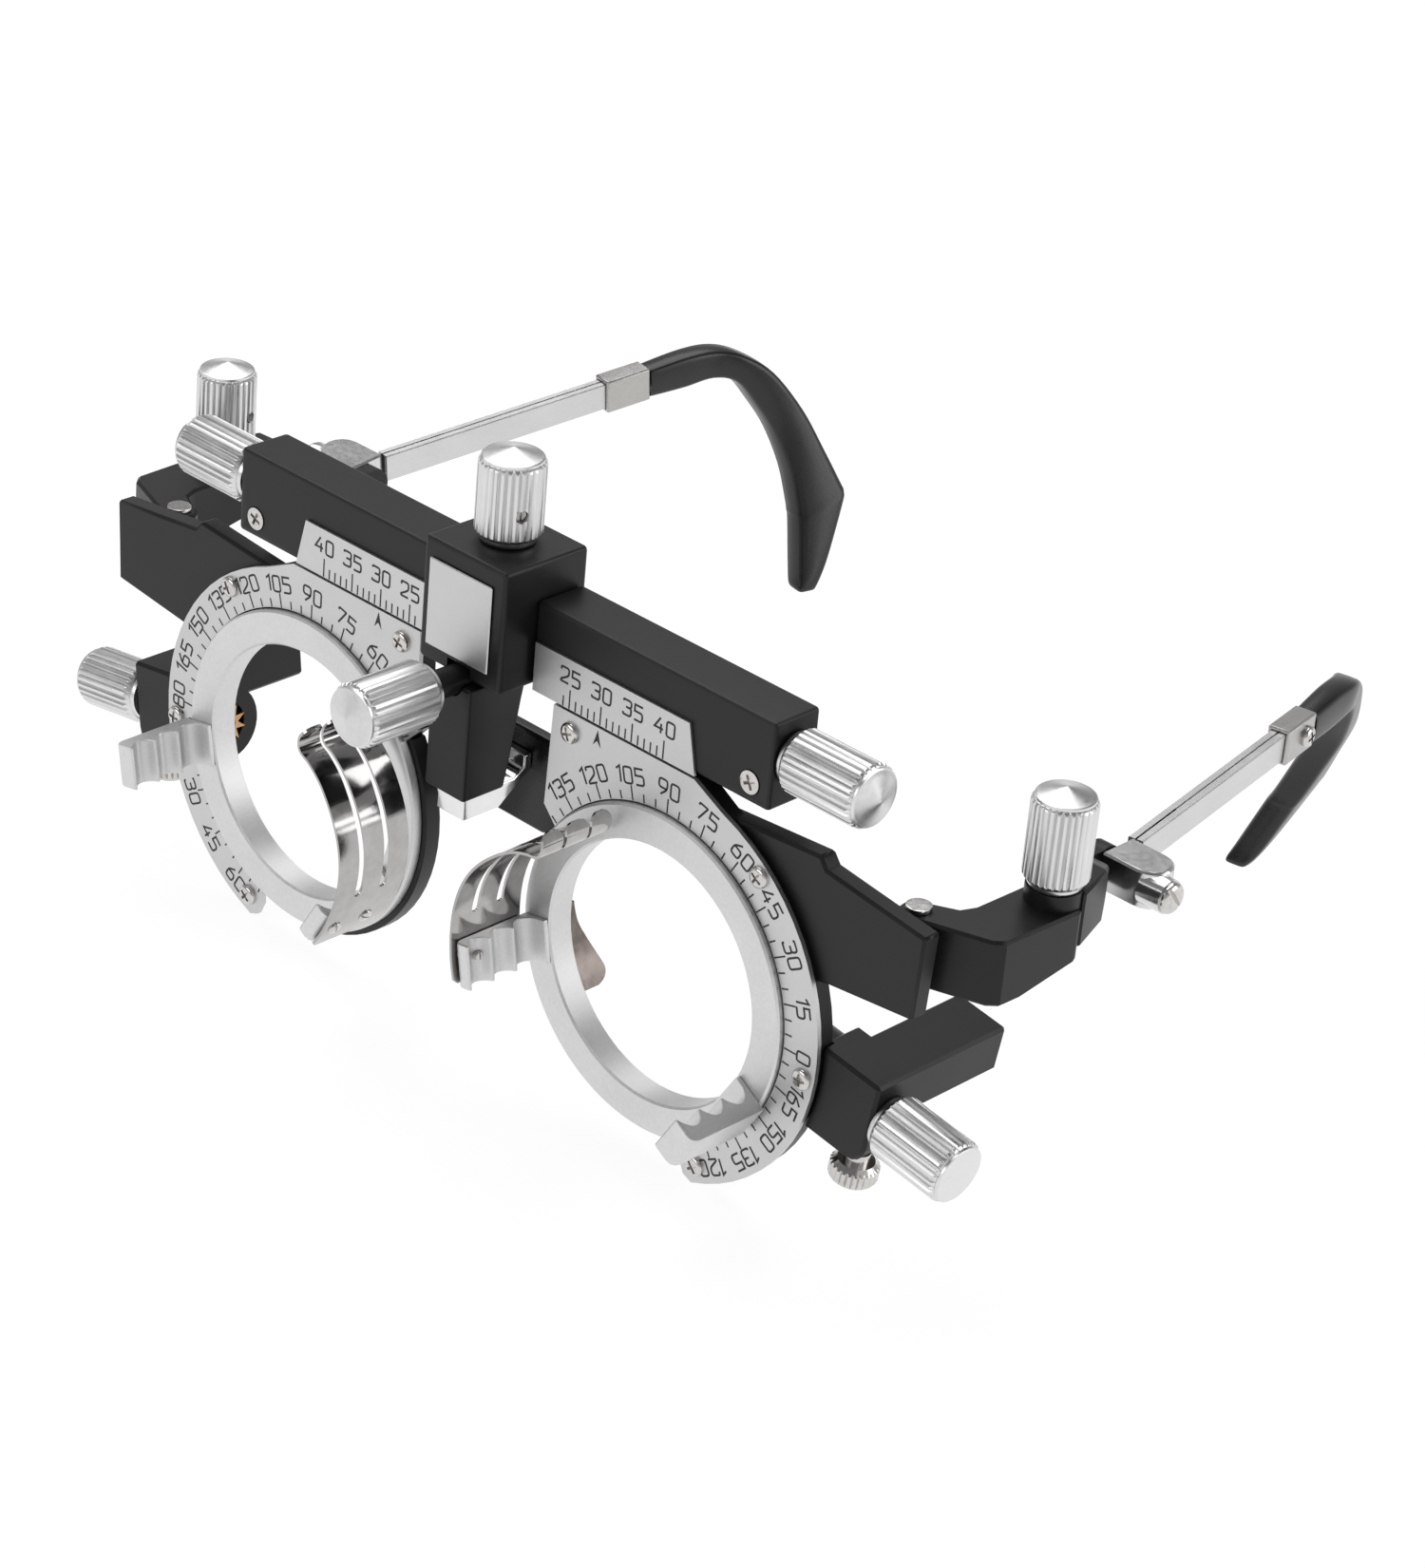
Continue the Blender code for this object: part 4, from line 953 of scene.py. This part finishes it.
def dress_kept():
    group = smooth_group()
    for name, obj in frame["nodes"].items():
        found = [KEPT[k] for k in KEPT if name == k or (k.endswith("_") and name[:-1] == k)]
        if not found:
            continue
        look, width = found[0]
        for slot in obj.material_slots:
            slot.material = LOOKS[look]
        weld = obj.modifiers.new("weld", "WELD")
        weld.merge_threshold = 1e-6
        bevel = obj.modifiers.new("edges", "BEVEL")
        bevel.width = width * MM
        bevel.segments = 2
        bevel.limit_method = "ANGLE"
        bevel.angle_limit = math.radians(40)
        bevel.use_clamp_overlap = True
        shade = obj.modifiers.new("smooth", "NODES")
        shade.node_group = group
        flatten(obj)


# ---------------------------------------------------------------- stage


def area_light(name, place, target, size, power):
    data = bpy.data.lights.new(name, "AREA")
    data.shape = "RECTANGLE"
    data.size, data.size_y = size
    data.energy = power
    obj = bpy.data.objects.new(name, data)
    obj.location = place
    obj.rotation_euler = (Vector(target) - Vector(place)).to_track_quat("-Z", "Y").to_euler()
    bpy.context.scene.collection.objects.link(obj)


def make_stage():
    scene = bpy.context.scene
    scene.view_settings.view_transform = "Standard"
    floor_z = CAD_BOX[0][2] - FLOOR_GAP
    bm = bmesh.new()
    bmesh.ops.create_grid(bm, x_segments=1, y_segments=1, size=6.0)
    mesh = bpy.data.meshes.new("floor")
    bm.to_mesh(mesh)
    bm.free()
    floor = bpy.data.objects.new("floor", mesh)
    floor.location.z = floor_z
    scene.collection.objects.link(floor)
    mat = bpy.data.materials.new("pale_floor")
    mat.use_nodes = True
    shader = mat.node_tree.nodes["Principled BSDF"]
    shader.inputs["Base Color"].default_value = (0.16, 0.16, 0.16, 1)
    shader.inputs["Roughness"].default_value = 1.0
    shader.inputs["Specular IOR Level"].default_value = 0.0
    shader.inputs["Emission Color"].default_value = (1, 1, 1, 1)
    shader.inputs["Emission Strength"].default_value = 0.9
    mesh.materials.append(mat)

    sky = bpy.data.worlds.new("studio")
    sky.use_nodes = True
    tree = sky.node_tree
    coords = tree.nodes.new("ShaderNodeTexCoord")
    split = tree.nodes.new("ShaderNodeSeparateXYZ")
    ramp = tree.nodes.new("ShaderNodeValToRGB")
    ramp.color_ramp.elements[0].position = 0.0
    ramp.color_ramp.elements[0].color = (0.62, 0.62, 0.62, 1)
    ramp.color_ramp.elements[1].position = 0.7
    ramp.color_ramp.elements[1].color = (0.2, 0.2, 0.205, 1)
    tree.links.new(coords.outputs["Generated"], split.inputs[0])
    tree.links.new(split.outputs["Z"], ramp.inputs["Fac"])
    tree.links.new(ramp.outputs["Color"], tree.nodes["Background"].inputs["Color"])
    scene.world = sky

    middle = (0.0, 0.03, 0.0)
    area_light("key_above_left", (-0.45, 0.25, 1.0), middle, (1.1, 1.1), 8)
    area_light("fill_right", (0.9, 0.6, 0.42), middle, (0.7, 0.8), 4)
    area_light("front_low", (-0.25, -0.95, 0.45), middle, (0.8, 0.4), 2)

    azimuth, elevation, roll = (math.radians(a) for a in CAMERA_TURN)
    back = Vector((
        math.sin(azimuth) * math.cos(elevation),
        -math.cos(azimuth) * math.cos(elevation),
        math.sin(elevation),
    ))
    right = (-back).cross(Vector((0, 0, 1))).normalized()
    up = right.cross(-back)
    rolled = math.cos(roll) * right + math.sin(roll) * up
    above = -math.sin(roll) * right + math.cos(roll) * up
    data = bpy.data.cameras.new("camera")
    data.sensor_fit = "VERTICAL"
    data.sensor_height = SENSOR_HEIGHT
    data.lens = FOCAL_LENGTH
    data.clip_start = 0.01
    camera = bpy.data.objects.new("camera", data)
    camera.matrix_world = Matrix.Translation(CAMERA_PLACE) @ Matrix((
        (rolled.x, above.x, back.x, 0),
        (rolled.y, above.y, back.y, 0),
        (rolled.z, above.z, back.z, 0),
        (0, 0, 0, 1),
    ))
    scene.collection.objects.link(camera)
    scene.camera = camera


make_stage()
dress_kept()
make_knobs()
for side_tag, side_sign in SIDES:
    make_ring(side_tag)
    make_rod(side_tag, side_sign)
    make_hook(side_tag, side_sign)
make_screws()
make_scales()
